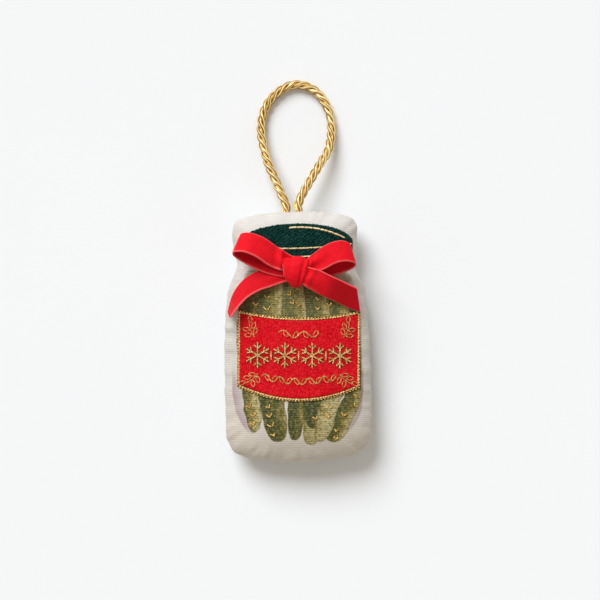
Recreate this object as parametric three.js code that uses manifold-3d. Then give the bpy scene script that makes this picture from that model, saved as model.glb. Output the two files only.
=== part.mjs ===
// A stuffed cloth ornament in the shape of a pickle jar, lying on its back.
// Millimetres. +Y points to the top of the jar, +Z out of its front, and z = 0 is the table.
import * as THREE from "three";
import { mergeVertices } from "three/addons/utils/BufferGeometryUtils.js";
import Module from "manifold-3d";

const wasm = await Module();
wasm.setup();

// Outline of the jar
const jarHeight = 120;
const lidWidth = 60.2;
const lidHeight = 24.5;
const neckWidth = 55.8;
const shoulderHeight = 15.5;
const shoulderWidth = 66.6;
const bodyWidth = 70.4;
const topArch = 2.2;
const bottomArch = 2.6;
const topCorner = 6;
const bottomCorner = 11;
const halfOutlineSteps = 38;

// Stuffing and cloth
const bodyBulge = 14;
const lidBulge = 12.6;
const backBulge = 12.5;
const pressedFlat = 0.5;
const roundness = 2.5;
const fullness = 0.55;
const spineReach = 0.92;
const clothThickness = 0.8;
const gap = 0.3;

// Embroidered lid, measured in from the lid's own edges
const lidCentreX = 0.5;
const lidSideMargin = 3.8;
const lidTopMargin = 6.4;
const lidSideDrop = 8.2;
const lidTopRiseLeft = 0.6;
const lidTopRiseRight = 2.4;
const lidFieldHeight = 16.8;
const lidCornerDrop = 1.6;
const lidLineMargin = 1;
const lidHighlightDrop = 1.4;
const lidHighlightSag = 7.4;
const lidRimDrop = 11.2;
const lidRimSag = 2.4;
const lidBandDrop = 15.2;
const lidBandSag = 1.5;

// Embroidered label
const labelCentreX = 0.7;
const labelCentreY = -6.3;
const labelSideMargin = 7.4;
const labelHeight = 35;
const labelTopSag = 3.2;
const labelBottomSag = 6.2;
const labelTurn = -1.7;
const braidWidth = 1.2;
const starSize = 11;
const starPitch = 12.6;
const starCount = 4;
const starRowDrop = 2.1;
const diamondWidth = 1.9;
const sprigLength = 7.4;
const sprigInset = 5.4;
const sprigDrop = 6.8;
const sprigRaise = 3.6;
const leafLength = 3.9;
const leafWidth = 1.9;
const berryWidth = 1.6;
const vineSwing = 1.5;
const topVineDrop = 10;
const topVineLength = 18.6;
const topVineBow = 1;
const bottomVineRaise = 3.2;
const bottomVineMargin = 11.3;
const bottomVineBow = 2.2;

// Thread
const fillHeight = 0.9;
const braidHeight = 1.2;
const goldWidth = 0.9;
const goldHeight = 0.8;

// Hanging cord
const cordDiameter = 4;
const cordSides = 10;
const cordSteps = 28;
const cordEndLength = 10;
const cordEndProud = 0.5;
const cordCentreX = -1.05;
const cordEndsApart = 1.7;
const cordEndsApartInside = 0.5;
const cordTurnGap = 0.4;

// Ribbon bow
const ribbonWidth = 10;
const ribbonThickness = 0.9;
const gathered = 0.58;
const plyGap = 0.5;
const knotX = 0.4;
const knotDrop = 4.5;
const knotHeight = 14.6;
const knotFullness = 3.4;
const knotWidthTop = 12.4;
const knotWidthMiddle = 11.4;
const knotWidthBottom = 5;

const seamZ = backBulge - pressedFlat;
const topY = jarHeight / 2;
const bottomY = -jarHeight / 2;
const neckY = topY - lidHeight;
const shoulderY = neckY - shoulderHeight;
const spineTop = topY - (spineReach * lidWidth) / 2;
const spineBottom = bottomY + (spineReach * bodyWidth) / 2;

const cotton = new THREE.MeshStandardMaterial({ color: 0xebe7dd, roughness: 0.9, metalness: 0 });
const filling = new THREE.MeshStandardMaterial({ color: 0xf7f6f2, roughness: 1, metalness: 0 });
const greenThread = new THREE.MeshStandardMaterial({ color: 0x0f3a30, roughness: 0.6, metalness: 0 });
const redThread = new THREE.MeshStandardMaterial({ color: 0xcb1524, roughness: 0.6, metalness: 0 });
const goldThread = new THREE.MeshStandardMaterial({ color: 0xb98a35, roughness: 0.4, metalness: 0.6 });
const goldCord = new THREE.MeshStandardMaterial({ color: 0xe0ac45, roughness: 0.4, metalness: 0.3 });
const redVelvet = new THREE.MeshStandardMaterial({ color: 0xe2131f, roughness: 0.85, metalness: 0 });

const ornament = new THREE.Group();

// Adds one named piece.
function add(name, geometry, material) {
  const mesh = new THREE.Mesh(geometry, material);
  mesh.name = name;
  ornament.add(mesh);
}

// A closed geometry as a solid that can be joined and cut.
function solid(geometry) {
  const bare = geometry.clone();
  bare.deleteAttribute("normal");
  bare.deleteAttribute("uv");
  const merged = mergeVertices(bare, 1e-4);
  return new wasm.Manifold(
    new wasm.Mesh({
      numProp: 3,
      vertProperties: new Float32Array(merged.attributes.position.array),
      triVerts: new Uint32Array(merged.index.array),
    }),
  );
}

// A joined or cut solid as a geometry again.
function geometryOf(made) {
  const mesh = made.getMesh();
  const geometry = new THREE.BufferGeometry();
  geometry.setAttribute("position", new THREE.BufferAttribute(mesh.vertProperties, mesh.numProp));
  geometry.setIndex(new THREE.BufferAttribute(mesh.triVerts, 1));
  geometry.computeVertexNormals();
  return geometry;
}

// Triangles, as triples of points, as one geometry.
function geometryFrom(triangles) {
  const geometry = new THREE.BufferGeometry();
  geometry.setFromPoints(triangles.flat());
  const merged = mergeVertices(geometry, 1e-4);
  merged.computeVertexNormals();
  return merged;
}

// Triangles between two rings of as many points each.
function between(lower, upper) {
  return lower.flatMap((a, i) => {
    const next = (i + 1) % lower.length;
    const b = lower[next];
    const c = upper[next];
    const d = upper[i];
    return [
      [a, b, c],
      [a, c, d],
    ];
  });
}

// Triangles that fill a ring.
function filled(ring) {
  const flat = ring.map((p) => new THREE.Vector2(p.x, p.y));
  return THREE.ShapeUtils.triangulateShape(flat, []).map((face) => face.map((i) => ring[i]));
}

function reversed(triangles) {
  return triangles.map(([a, b, c]) => [a, c, b]);
}

// The right half of the jar's outline, from the middle of its bottom edge up to the middle of its top edge.
function halfOutline() {
  const path = new THREE.Path();
  const half = bodyWidth / 2;
  const lidHalf = lidWidth / 2;
  const cornerX = half - bottomCorner;
  const lidCornerX = lidHalf - topCorner;
  const lidCornerY = topY - topArch;
  path.moveTo(0, bottomY);
  path.quadraticCurveTo(cornerX / 2, bottomY, cornerX, bottomY + bottomArch);
  path.bezierCurveTo(
    cornerX + 0.6 * bottomCorner,
    bottomY + 1.55 * bottomArch,
    half - 0.3,
    bottomY + bottomArch + 0.45 * bottomCorner,
    half - 0.3,
    bottomY + bottomArch + 1.1 * bottomCorner,
  );
  const bellyY = bottomY + 0.3 * jarHeight;
  const upperY = shoulderY - 0.17 * jarHeight;
  path.bezierCurveTo(half + 0.2, bellyY, half, upperY, shoulderWidth / 2, shoulderY);
  path.bezierCurveTo(
    shoulderWidth / 2 - 0.7,
    shoulderY + 0.45 * shoulderHeight,
    neckWidth / 2,
    neckY - 0.35 * shoulderHeight,
    neckWidth / 2,
    neckY,
  );
  path.bezierCurveTo(
    neckWidth / 2,
    neckY + 0.08 * lidHeight,
    lidHalf + 0.2,
    topY - 0.8 * lidHeight,
    lidHalf,
    lidCornerY - topCorner,
  );
  path.quadraticCurveTo(lidHalf - 0.2, lidCornerY - 0.1 * topCorner, lidCornerX, lidCornerY);
  path.quadraticCurveTo(lidCornerX / 2, topY, 0, topY);
  return path.getSpacedPoints(halfOutlineSteps);
}

// The whole outline, once round.
function jarOutline() {
  const right = halfOutline();
  const left = right.slice(1, -1).reverse();
  return [...right, ...left.map((p) => new THREE.Vector2(-p.x, p.y))];
}

const outline = jarOutline();

// The nearest point of the line down the middle of the stuffing.
function spineAt(y) {
  return THREE.MathUtils.clamp(y, spineBottom, spineTop);
}

// How far the front stands over the seam, as a share of the bulge, at the share u of the way out to the seam.
function swell(u) {
  return (1 - u ** roundness) ** fullness;
}

function frontBulge(y) {
  const share = THREE.MathUtils.smoothstep(y, spineBottom, spineTop);
  return THREE.MathUtils.lerp(bodyBulge, lidBulge, share);
}

// The height of the front over the table at one place.
function frontHeight(x, y) {
  const middle = new THREE.Vector2(0, spineAt(y));
  const out = new THREE.Vector2(x, y).sub(middle);
  const reaches = outline.map((a, i) => {
    const b = outline[(i + 1) % outline.length];
    const from = a.clone().sub(middle);
    const along = b.clone().sub(a);
    const slant = out.cross(along);
    const crossing = from.cross(out) / slant;
    const meets = slant > 0 && crossing >= 0 && crossing <= 1;
    return meets ? from.cross(along) / slant : Infinity;
  });
  const u = 1 / Math.max(1, Math.min(...reaches));
  return seamZ + swell(u) * frontBulge(y);
}

// One ring of the stuffed form: u is 1 at the seam and 0 on the middle line.
function ring(u, inset, height) {
  return outline.map((p) => {
    const y = spineAt(p.y);
    const out = new THREE.Vector2(p.x, p.y - y);
    out.setLength(u * (out.length() - inset));
    return new THREE.Vector3(out.x, y + out.y, height(swell(u), y));
  });
}

const ringShares = [1, 0.97, 0.91, 0.82, 0.69, 0.52, 0.34, 0.13];

function rings(inset, height) {
  return ringShares.map((u) => ring(u, inset, height));
}

// The skin over a set of rings, from the outer ring to the middle.
function skin(made) {
  const bands = made.slice(1).flatMap((inner, i) => between(made[i], inner));
  return [...bands, ...filled(made.at(-1))];
}

// A closed shell between two sets of rings, the first of them on top.
function shell(upper, lower) {
  return geometryFrom([...skin(upper), ...reversed(skin(lower)), ...between(lower[0], upper[0])]);
}

function frontRings(inset, lift) {
  return rings(inset, (share, y) => seamZ + lift + share * (frontBulge(y) - inset));
}

function backRings(inset, lift, floor) {
  return rings(inset, (share) => Math.max(floor, seamZ - lift - share * (backBulge - inset)));
}

// Cloth and stuffing, with room for the cord's two ends in the top seam
function cordEnd(side) {
  const outerX = cordCentreX + (side * (cordDiameter + cordEndsApart)) / 2;
  const innerX = cordCentreX + (side * (cordDiameter + cordEndsApartInside)) / 2;
  const outerY = topY + cordEndProud;
  const outer = new THREE.Vector3(outerX, outerY, seamZ);
  const inner = new THREE.Vector3(innerX, outerY - cordEndLength, seamZ);
  const along = outer.clone().sub(inner).normalize();
  const root = outer.clone().addScaledVector(along, cordTurnGap + cordDiameter / 2);
  return { inner, outer, along, root };
}

const leftEnd = cordEnd(-1);
const rightEnd = cordEnd(1);

function roundSection(radius) {
  const section = new THREE.Shape();
  for (let i = 0; i < cordSides; i += 1) {
    const turn = ((i + 0.5) * 2 * Math.PI) / cordSides;
    const point = [radius * Math.cos(turn), radius * Math.sin(turn)];
    if (i === 0) section.moveTo(...point);
    else section.lineTo(...point);
  }
  section.closePath();
  return section;
}

function tube(curve, radius, steps) {
  return new THREE.ExtrudeGeometry(roundSection(radius), { steps, extrudePath: curve });
}

// The passage that a cord end takes through the seam, wider and longer than the end by the gap.
function passage({ inner, outer, along }) {
  const start = inner.clone().addScaledVector(along, -gap);
  const end = outer.clone().addScaledVector(along, 2 * cordDiameter);
  return solid(tube(new THREE.LineCurve3(start, end), cordDiameter / 2 + gap, 1));
}

const passages = [leftEnd, rightEnd].map(passage);

function withPassages(geometry) {
  return geometryOf(passages.reduce((made, opening) => made.subtract(opening), solid(geometry)));
}

function cordStub({ inner, outer }) {
  return tube(new THREE.LineCurve3(inner, outer), cordDiameter / 2, 1);
}

const frontCloth = shell(frontRings(0, gap / 2), frontRings(clothThickness, gap / 2));
const backOuter = backRings(0, gap / 2, 0);
const backInner = backRings(clothThickness, gap / 2, clothThickness);
const backCloth = shell(backInner, backOuter);
const insideCloth = clothThickness + gap;
const stuffing = shell(frontRings(insideCloth, 0), backRings(insideCloth, 0, insideCloth));

add("front_panel", withPassages(frontCloth), cotton);
add("back_panel", withPassages(backCloth), cotton);
add("fibre_filling", withPassages(stuffing), filling);

add("cord_end_left", cordStub(leftEnd), goldCord);
add("cord_end_right", cordStub(rightEnd), goldCord);

// A layer of stitching that follows the front of the jar, from lift to lift + height over the cloth.
function layer(lift, height) {
  return solid(shell(frontRings(0, gap / 2 + lift + height), frontRings(0, gap / 2 + lift)));
}

const fieldLayer = layer(gap, fillHeight);
const braidLayer = layer(gap, braidHeight);
const goldLayer = layer(gap + fillHeight + gap, goldHeight);

function extruded(shape) {
  const depth = seamZ + 2 * bodyBulge;
  return new THREE.ExtrudeGeometry(shape, { depth, bevelEnabled: false, curveSegments: 24 });
}

// What the joined prisms leave of a layer.
function stitched(prisms, into) {
  return geometryOf(prisms.reduce((a, b) => a.add(b)).intersect(into));
}

function lidPiece(shape, into) {
  return stitched([solid(extruded(shape))], into);
}

// A line of thread along some points, as a flat outline.
function stroke(points, width) {
  const sides = [width / 2, -width / 2].map((offset) =>
    points.map((p, i) => {
      const before = points[Math.max(i - 1, 0)];
      const after = points[Math.min(i + 1, points.length - 1)];
      const along = after.clone().sub(before).normalize();
      return new THREE.Vector2(p.x - offset * along.y, p.y + offset * along.x);
    }),
  );
  return new THREE.Shape([...sides[0], ...sides[1].reverse()]);
}

// A leaf or berry: an ellipse that is long along its turn.
function leaf(x, y, length, width, turn) {
  const shape = new THREE.Shape();
  shape.absellipse(x, y, length / 2, width / 2, 0, 2 * Math.PI, false, turn);
  return new THREE.Shape(shape.getPoints(8));
}

// An arch that passes through its middle point and sags at its two ends by rise.
function archPoints(centreX, middleY, halfWidth, rise, from = -1, to = 1) {
  const count = 16;
  return Array.from({ length: count + 1 }, (_, i) => {
    const t = THREE.MathUtils.lerp(from, to, i / count);
    return new THREE.Vector2(centreX + t * halfWidth, middleY + rise * t * t);
  });
}

// Lid
const lidFieldHalf = lidWidth / 2 - lidSideMargin;
const lidFieldTop = topY - lidTopMargin;
const lidFieldBottom = lidFieldTop - lidFieldHeight;

function lidField() {
  const side = lidFieldTop - lidSideDrop;
  const left = lidCentreX - lidFieldHalf;
  const right = lidCentreX + lidFieldHalf;
  const shape = new THREE.Shape();
  shape.moveTo(left, side);
  shape.bezierCurveTo(
    lidCentreX - 0.86 * lidFieldHalf,
    lidFieldTop + lidTopRiseLeft,
    lidCentreX + 0.78 * lidFieldHalf,
    lidFieldTop + lidTopRiseRight,
    right,
    side,
  );
  shape.lineTo(right - lidCornerDrop / 2, lidFieldBottom + lidCornerDrop);
  shape.quadraticCurveTo(
    lidCentreX,
    lidFieldBottom - lidCornerDrop,
    left + lidCornerDrop / 2,
    lidFieldBottom + lidCornerDrop,
  );
  return shape;
}

const lidLine = lidFieldHalf - lidLineMargin;
const lidBandLine = lidLine - lidLineMargin;
const highlightX = lidCentreX + lidLineMargin;
const highlightY = lidFieldTop - lidHighlightDrop;
const highlight = archPoints(highlightX, highlightY, lidLine, -lidHighlightSag, -0.16, 0.82);
const rim = archPoints(lidCentreX, lidFieldTop - lidRimDrop, lidLine, lidRimSag);
const band = archPoints(lidCentreX, lidFieldTop - lidBandDrop, lidBandLine, lidBandSag);
add("lid_embroidery", lidPiece(lidField(), fieldLayer), greenThread);
add("lid_highlight_stitch", lidPiece(stroke(highlight, goldWidth), goldLayer), goldThread);
add("lid_rim_stitch", lidPiece(stroke(rim, goldWidth), goldLayer), goldThread);
add("lid_band_stitch", lidPiece(stroke(band, goldWidth), goldLayer), goldThread);

// Label
const labelHalf = bodyWidth / 2 - labelSideMargin;
const labelTop = labelCentreY + labelHeight / 2;
const labelBottom = labelCentreY - labelHeight / 2;

function labelShape(margin) {
  const half = labelHalf + margin;
  const left = labelCentreX - half;
  const right = labelCentreX + half;
  const top = labelTop + margin;
  const bottom = labelBottom - margin;
  const shape = new THREE.Shape();
  shape.moveTo(left, top);
  shape.lineTo(left, bottom);
  shape.quadraticCurveTo(labelCentreX, bottom - 2 * labelBottomSag, right, bottom);
  shape.lineTo(right, top);
  shape.quadraticCurveTo(labelCentreX, top - 2 * labelTopSag, left, top);
  return shape;
}

// The label and all that is on it sit a little turned on the jar.
function labelPrism(shape) {
  const standing = extruded(shape).translate(-labelCentreX, -labelCentreY, 0);
  const turned = standing.rotateZ(THREE.MathUtils.degToRad(labelTurn));
  return solid(turned.translate(labelCentreX, labelCentreY, 0));
}

function labelPiece(shapes, into) {
  return stitched(shapes.map(labelPrism), into);
}

add("label_embroidery", labelPiece([labelShape(0)], fieldLayer), redThread);
const braid = labelPrism(labelShape(gap + braidWidth)).subtract(labelPrism(labelShape(gap)));
add("label_border_braid", stitched([braid], braidLayer), goldThread);

// A sprig of three leaves and a berry on a bent stem, turned and mirrored into a corner of the label.
// Places on it are shares of its length.
function sprig(x, y, turn, side) {
  const at = (along, across) => {
    const c = sprigLength * Math.cos(turn);
    const s = sprigLength * Math.sin(turn);
    return new THREE.Vector2(x + side * (along * c - across * s), y + along * s + across * c);
  };
  const stem = [0, 0.2, 0.4, 0.6, 0.8, 1].map((t) => at(t - 0.49, 0.46 * t * t - 0.185));
  const facing = (angle) => (side > 0 ? turn + angle : Math.PI - turn - angle);
  const leafAt = (along, across, angle) => {
    const p = at(along, across);
    return leaf(p.x, p.y, leafLength, leafWidth, facing(angle));
  };
  const berry = at(0.555, 0.37);
  return [
    stroke(stem, goldWidth * 0.8),
    leafAt(-0.185, 0.09, 1.1),
    leafAt(0.06, -0.277, -0.8),
    leafAt(0.277, 0.37, 1.3),
    leaf(berry.x, berry.y, berryWidth, berryWidth, 0),
  ];
}

const sprigX = labelHalf - sprigInset;
const sprigTop = labelTop - sprigDrop;
const sprigBottom = labelBottom + sprigRaise;
for (const [name, side, y, turn] of [
  ["label_sprig_top_left", -1, sprigTop, 0.9],
  ["label_sprig_top_right", 1, sprigTop, 0.9],
  ["label_sprig_bottom_left", -1, sprigBottom, -0.9],
  ["label_sprig_bottom_right", 1, sprigBottom, -0.9],
]) {
  add(name, labelPiece(sprig(labelCentreX + side * sprigX, y, turn, side), goldLayer), goldThread);
}

// A stitched star: three crossed threads with a small bar near each point.
function star(x, y) {
  const arms = [0, 1, 2].map((i) => {
    const turn = Math.PI / 2 + (i * Math.PI) / 3;
    const arm = new THREE.Vector2(Math.cos(turn), Math.sin(turn)).multiplyScalar(starSize / 2);
    return stroke([new THREE.Vector2(x - arm.x, y - arm.y), new THREE.Vector2(x + arm.x, y + arm.y)], goldWidth);
  });
  const bars = [0, 1, 2, 3, 4, 5].map((i) => {
    const turn = Math.PI / 2 + (i * Math.PI) / 3;
    const out = new THREE.Vector2(Math.cos(turn), Math.sin(turn));
    const across = new THREE.Vector2(-out.y, out.x).multiplyScalar(0.15 * starSize);
    const middle = new THREE.Vector2(x, y).addScaledVector(out, 0.3 * starSize);
    return stroke([middle.clone().sub(across), middle.clone().add(across)], 0.8 * goldWidth);
  });
  return [...arms, ...bars];
}

function diamond(x, y) {
  const half = diamondWidth / 2;
  return new THREE.Shape([
    new THREE.Vector2(x, y + 1.7 * half),
    new THREE.Vector2(x - half, y),
    new THREE.Vector2(x, y - 1.7 * half),
    new THREE.Vector2(x + half, y),
  ]);
}

const starRowY = labelCentreY - starRowDrop;
for (let i = 0; i < starCount; i += 1) {
  const x = labelCentreX + (i - (starCount - 1) / 2) * starPitch;
  add(`label_star_${i + 1}`, labelPiece(star(x, starRowY), goldLayer), goldThread);
  if (i < starCount - 1) {
    const spacer = labelPiece([diamond(x + starPitch / 2, starRowY)], goldLayer);
    add(`label_diamond_${i + 1}`, spacer, goldThread);
  }
}

// A wavy stem with a leaf at each turn.
function vine(centreX, centreY, length, waves, rise) {
  const count = 12 * waves;
  const at = (t) => {
    const x = centreX + (t - 0.5) * length;
    const bow = rise * (2 * t - 1) ** 2;
    return new THREE.Vector2(x, centreY + bow + vineSwing * Math.sin(2 * Math.PI * waves * t));
  };
  const stem = Array.from({ length: count + 1 }, (_, i) => at(i / count));
  const leaves = Array.from({ length: 2 * waves }, (_, i) => {
    const side = i % 2 === 0 ? -1 : 1;
    const p = at((i + 0.5) / (2 * waves));
    return leaf(p.x + 0.55 * vineSwing, p.y + side * vineSwing, 0.88 * leafLength, 0.93 * leafWidth, side);
  });
  return [stroke(stem, 0.8 * goldWidth), ...leaves];
}

const topVine = vine(labelCentreX, labelTop - topVineDrop, topVineLength, 2, topVineBow);
const bottomVineLength = 2 * (labelHalf - bottomVineMargin);
const bottomVine = vine(labelCentreX, labelBottom + bottomVineRaise, bottomVineLength, 4, bottomVineBow);
add("label_vine_top", labelPiece(topVine, goldLayer), goldThread);
add("label_vine_bottom", labelPiece(bottomVine, goldLayer), goldThread);

// Hanging cord: the centre line of the loop, x, y over the jar's top and z, from its left root to its right
const cordLoop = [
  [-5.9, 7.8, 11.9],
  [-9.2, 15.6, 10.7],
  [-12.1, 23.3, 8.4],
  [-14.3, 31.6, 5.8],
  [-15.1, 38.8, 3.9],
  [-14.1, 46.6, 2.7],
  [-11.1, 52.8, 2.3],
  [-6.4, 57.6, 2.2],
  [-0.9, 60.5, 2.2],
  [4.5, 60.7, 2.2],
  [10.4, 58.3, 2.2],
  [14.8, 53.6, 2.3],
  [17.4, 48.1, 2.6],
  [18.5, 42.2, 3.3],
  [18.3, 35.4, 4.7],
  [16.6, 28.7, 6.5],
  [13.3, 22.8, 8.5],
  [9.0, 16.1, 10.6],
  [5.3, 9.8, 11.8],
].map(([x, y, z]) => new THREE.Vector3(x, topY + y, z));

// The loop, with a round end at each root so that it can turn there.
function hangingCord() {
  const curve = new THREE.CatmullRomCurve3([leftEnd.root, ...cordLoop, rightEnd.root]);
  const loop = solid(tube(curve, cordDiameter / 2, cordSteps));
  const ends = [leftEnd.root, rightEnd.root].map((p) => {
    const ball = new THREE.SphereGeometry(cordDiameter / 2, cordSides, 8);
    return solid(ball.translate(p.x, p.y, p.z));
  });
  return geometryOf(ends.reduce((made, end) => made.add(end), loop));
}

add("hanging_cord", hangingCord(), goldCord);

// Bow: the ribbons lie in plies through the knot
const ply = ribbonThickness + plyGap;
const knotDepth = 4 * ply + 2 * ribbonThickness + knotFullness;
const knotY = neckY - knotDrop;
const knotSeat = frontHeight(knotX, knotY - knotHeight / 2) + gap / 2;
const knotCentre = new THREE.Vector3(knotX, knotY, knotSeat + gap + knotDepth / 2);

// Places on the bow are in ribbon widths from the knot's centre.
function raised(x, y, z) {
  return new THREE.Vector3(x, y, z).multiplyScalar(ribbonWidth).add(knotCentre);
}

function knotted(x, y, plies) {
  return raised(x, y, 0).setZ(knotCentre.z + plies * ply);
}

function draped(x, y, lift) {
  const place = raised(x, y, 0);
  return place.setZ(frontHeight(place.x, place.y) + lift * ribbonWidth);
}

// A ribbon through stations: a point on its middle line, the way to its upper edge, and its share of full width.
function ribbon(stations, steps) {
  const middle = new THREE.CatmullRomCurve3(stations.map(([place]) => place));
  const edge = new THREE.CatmullRomCurve3(
    stations.map(([place, across, share = 1]) => {
      const half = new THREE.Vector3(...across).setLength((share * ribbonWidth) / 2);
      return half.add(place);
    }),
  );
  const sections = Array.from({ length: steps + 1 }, (_, i) => {
    const t = i / steps;
    const centre = middle.getPoint(t);
    const half = edge.getPoint(t).sub(centre);
    const thick = middle.getTangent(t).cross(half).setLength(-ribbonThickness / 2);
    return [
      centre.clone().add(half).add(thick),
      centre.clone().add(half).sub(thick),
      centre.clone().sub(half).sub(thick),
      centre.clone().sub(half).add(thick),
    ];
  });
  const sides = sections.slice(1).flatMap((after, i) => between(sections[i], after));
  const first = sections[0];
  const last = sections.at(-1);
  const ends = [
    [first[0], first[2], first[1]],
    [first[0], first[3], first[2]],
    [last[0], last[1], last[2]],
    [last[0], last[2], last[3]],
  ];
  return geometryFrom([...sides, ...ends]);
}

const leftLoop = [
  [knotted(-0.1, 0.04, 0.5), [0, 1, 0], gathered],
  [knotted(-0.62, 0.08, 0.5), [0.08, 1, 0], gathered + 0.12],
  [raised(-1.13, 0.72, 0.24), [0.36, 0.9, -0.1]],
  [raised(-1.7, 1.2, 0.4), [0.42, 0.86, -0.2]],
  [raised(-2.28, 1.43, 0.42), [0.42, 0.86, -0.2]],
  [raised(-2.7, 1.43, 0.23), [0.42, 0.88, -0.1]],
  [raised(-2.79, 1.32, -0.06), [0.4, 0.91, 0]],
  [raised(-2.57, 1.12, -0.28), [0.36, 0.93, 0]],
  [raised(-1.89, 0.71, -0.29), [0.4, 0.92, 0]],
  [raised(-1.2, 0.34, -0.24), [0.34, 0.94, 0], 0.9],
  [knotted(-0.64, 0.09, -0.75), [0.12, 1, 0], gathered + 0.1],
  [knotted(-0.1, 0.04, -0.75), [0, 1, 0], gathered],
];
const rightLoop = [
  [knotted(0.1, 0.02, 0.4), [0, 1, 0], gathered],
  [knotted(0.56, 0.04, 0.4), [-0.04, 1, 0], gathered + 0.06],
  [raised(0.86, 0.18, 0.13), [-0.1, 1, 0], gathered + 0.2],
  [raised(1.32, 0.53, 0.3), [-0.22, 0.97, 0]],
  [raised(1.8, 0.84, 0.38), [-0.18, 0.98, -0.1]],
  [raised(2.28, 0.92, 0.36), [-0.18, 0.98, -0.1]],
  [raised(2.66, 0.83, 0.2), [-0.26, 0.96, 0]],
  [raised(2.7, 0.69, -0.08), [-0.26, 0.96, 0]],
  [raised(2.46, 0.53, -0.3), [-0.24, 0.97, 0]],
  [raised(1.82, 0.3, -0.33), [-0.2, 0.98, 0]],
  [raised(1.14, 0.14, -0.3), [-0.12, 0.99, 0], 0.92],
  [knotted(0.62, 0.03, -1.3), [-0.04, 1, 0], gathered + 0.1],
  [knotted(0.1, 0.02, -1.3), [0, 1, 0], gathered],
];
const leftTail = [
  [knotted(-0.1, -0.01, -1.9), [0, 1, 0], gathered - 0.1],
  [knotted(-0.62, -0.04, -2), [0, 1, 0], gathered],
  [draped(-1.18, -0.26, 0.3), [-0.05, 0.95, -0.2], 0.9],
  [draped(-1.87, -0.45, 0.42), [-0.14, 0.89, -0.4]],
  [draped(-2.44, -0.81, 0.58), [-0.25, 0.76, -0.58]],
  [draped(-2.86, -1.32, 0.68), [-0.27, 0.57, -0.76]],
  [draped(-3.17, -1.88, 0.79), [-0.14, 0.28, -0.95]],
];
const rightTail = [
  [knotted(0.1, 0.01, 1.8), [0, 1, 0], gathered - 0.06],
  [knotted(0.54, -0.04, 1.9), [0.08, 1, 0.05], gathered],
  [raised(0.9, -0.33, 0.27), [0.28, 0.92, 0.26], 0.88],
  [raised(1.44, -0.66, 0.23), [0.33, 0.88, 0.33]],
  [raised(2.06, -0.96, 0.06), [0.22, 0.9, 0.35], 1.02],
  [raised(2.6, -1.2, -0.16), [0, 0.94, 0.34], 1.08],
  [raised(2.9, -1.4, -0.3), [-0.2, 0.92, 0.35], 1.18],
];

add("bow_loop_left", ribbon(leftLoop, 30), redVelvet);
add("bow_loop_right", ribbon(rightLoop, 30), redVelvet);
add("bow_tail_left", ribbon(leftTail, 16), redVelvet);
add("bow_tail_right", ribbon(rightTail, 16), redVelvet);

// The knot: a band of ribbon round the gathered middle of the bow, widest at its top.
function bowKnot() {
  const turns = 28;
  const widthAt = (rise) =>
    rise > 0
      ? THREE.MathUtils.lerp(knotWidthMiddle, knotWidthTop, rise)
      : THREE.MathUtils.lerp(knotWidthMiddle, knotWidthBottom, rise * rise);
  const sections = Array.from({ length: turns }, (_, i) => {
    const turn = (i * 2 * Math.PI) / turns;
    const rise = Math.sin(turn);
    const half = widthAt(rise) / 2;
    const place = (x, inward) =>
      new THREE.Vector3(
        knotCentre.x + 0.9 * rise + x,
        knotCentre.y + (knotHeight / 2 - inward) * rise,
        knotCentre.z + (knotDepth / 2 - inward) * Math.cos(turn),
      );
    const crown = 0.35;
    return [
      place(-half, crown),
      place(-half, crown + ribbonThickness),
      place(half, crown + ribbonThickness),
      place(half, crown),
      place(half / 2, 0),
      place(-half / 2, 0),
    ];
  });
  const band = sections.flatMap((section, i) => between(section, sections[(i + 1) % turns]));
  return geometryFrom(reversed(band));
}

add("bow_knot", bowKnot(), redVelvet);

export default ornament;
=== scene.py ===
# A stuffed cloth ornament in the shape of a pickle jar, seen from above as it lies on a pale table.
import math
import random

import bpy
import numpy as np
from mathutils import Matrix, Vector, noise
from mathutils.bvhtree import BVHTree
from mathutils.geometry import delaunay_2d_cdt


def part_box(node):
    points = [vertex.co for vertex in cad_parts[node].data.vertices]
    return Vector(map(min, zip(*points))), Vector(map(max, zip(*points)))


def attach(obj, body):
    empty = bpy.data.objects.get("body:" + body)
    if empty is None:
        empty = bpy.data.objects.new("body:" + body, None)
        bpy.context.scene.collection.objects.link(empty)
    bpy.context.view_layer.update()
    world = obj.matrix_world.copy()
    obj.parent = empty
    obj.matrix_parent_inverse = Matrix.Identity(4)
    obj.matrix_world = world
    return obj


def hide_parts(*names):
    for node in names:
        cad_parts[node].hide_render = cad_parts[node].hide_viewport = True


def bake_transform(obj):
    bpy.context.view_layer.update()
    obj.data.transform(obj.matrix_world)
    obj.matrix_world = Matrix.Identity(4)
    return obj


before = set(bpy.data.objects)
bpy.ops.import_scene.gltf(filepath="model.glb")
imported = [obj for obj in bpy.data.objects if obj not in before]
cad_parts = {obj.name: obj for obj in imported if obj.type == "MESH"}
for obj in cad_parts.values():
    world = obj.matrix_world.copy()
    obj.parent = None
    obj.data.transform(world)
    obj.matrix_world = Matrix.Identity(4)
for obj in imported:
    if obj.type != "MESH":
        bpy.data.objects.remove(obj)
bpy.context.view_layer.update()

MM = 0.001
random.seed(7)

# Places that come from the frame
SEAM_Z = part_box("cord_end_left")[0].z / 2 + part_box("cord_end_left")[1].z / 2
TOP_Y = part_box("front_panel")[1].y
BOTTOM_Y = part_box("front_panel")[0].y
HALF_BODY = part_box("front_panel")[1].x
KNOT_LOW, KNOT_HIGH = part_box("bow_knot")


def between(a, b, t):
    return a + (b - a) * t


def smooth(value, low, high):
    """A soft step from 0 at low to 1 at high, for a number or an array."""
    t = np.clip((value - low) / (high - low), 0, 1)
    return t * t * (3 - 2 * t)


# Modelling helpers

def chosen(thing):
    """The thing is selected alone, for the operator that comes next."""
    for other in bpy.context.selected_objects:
        other.select_set(False)
    thing.select_set(True)
    bpy.context.view_layer.objects.active = thing


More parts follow.
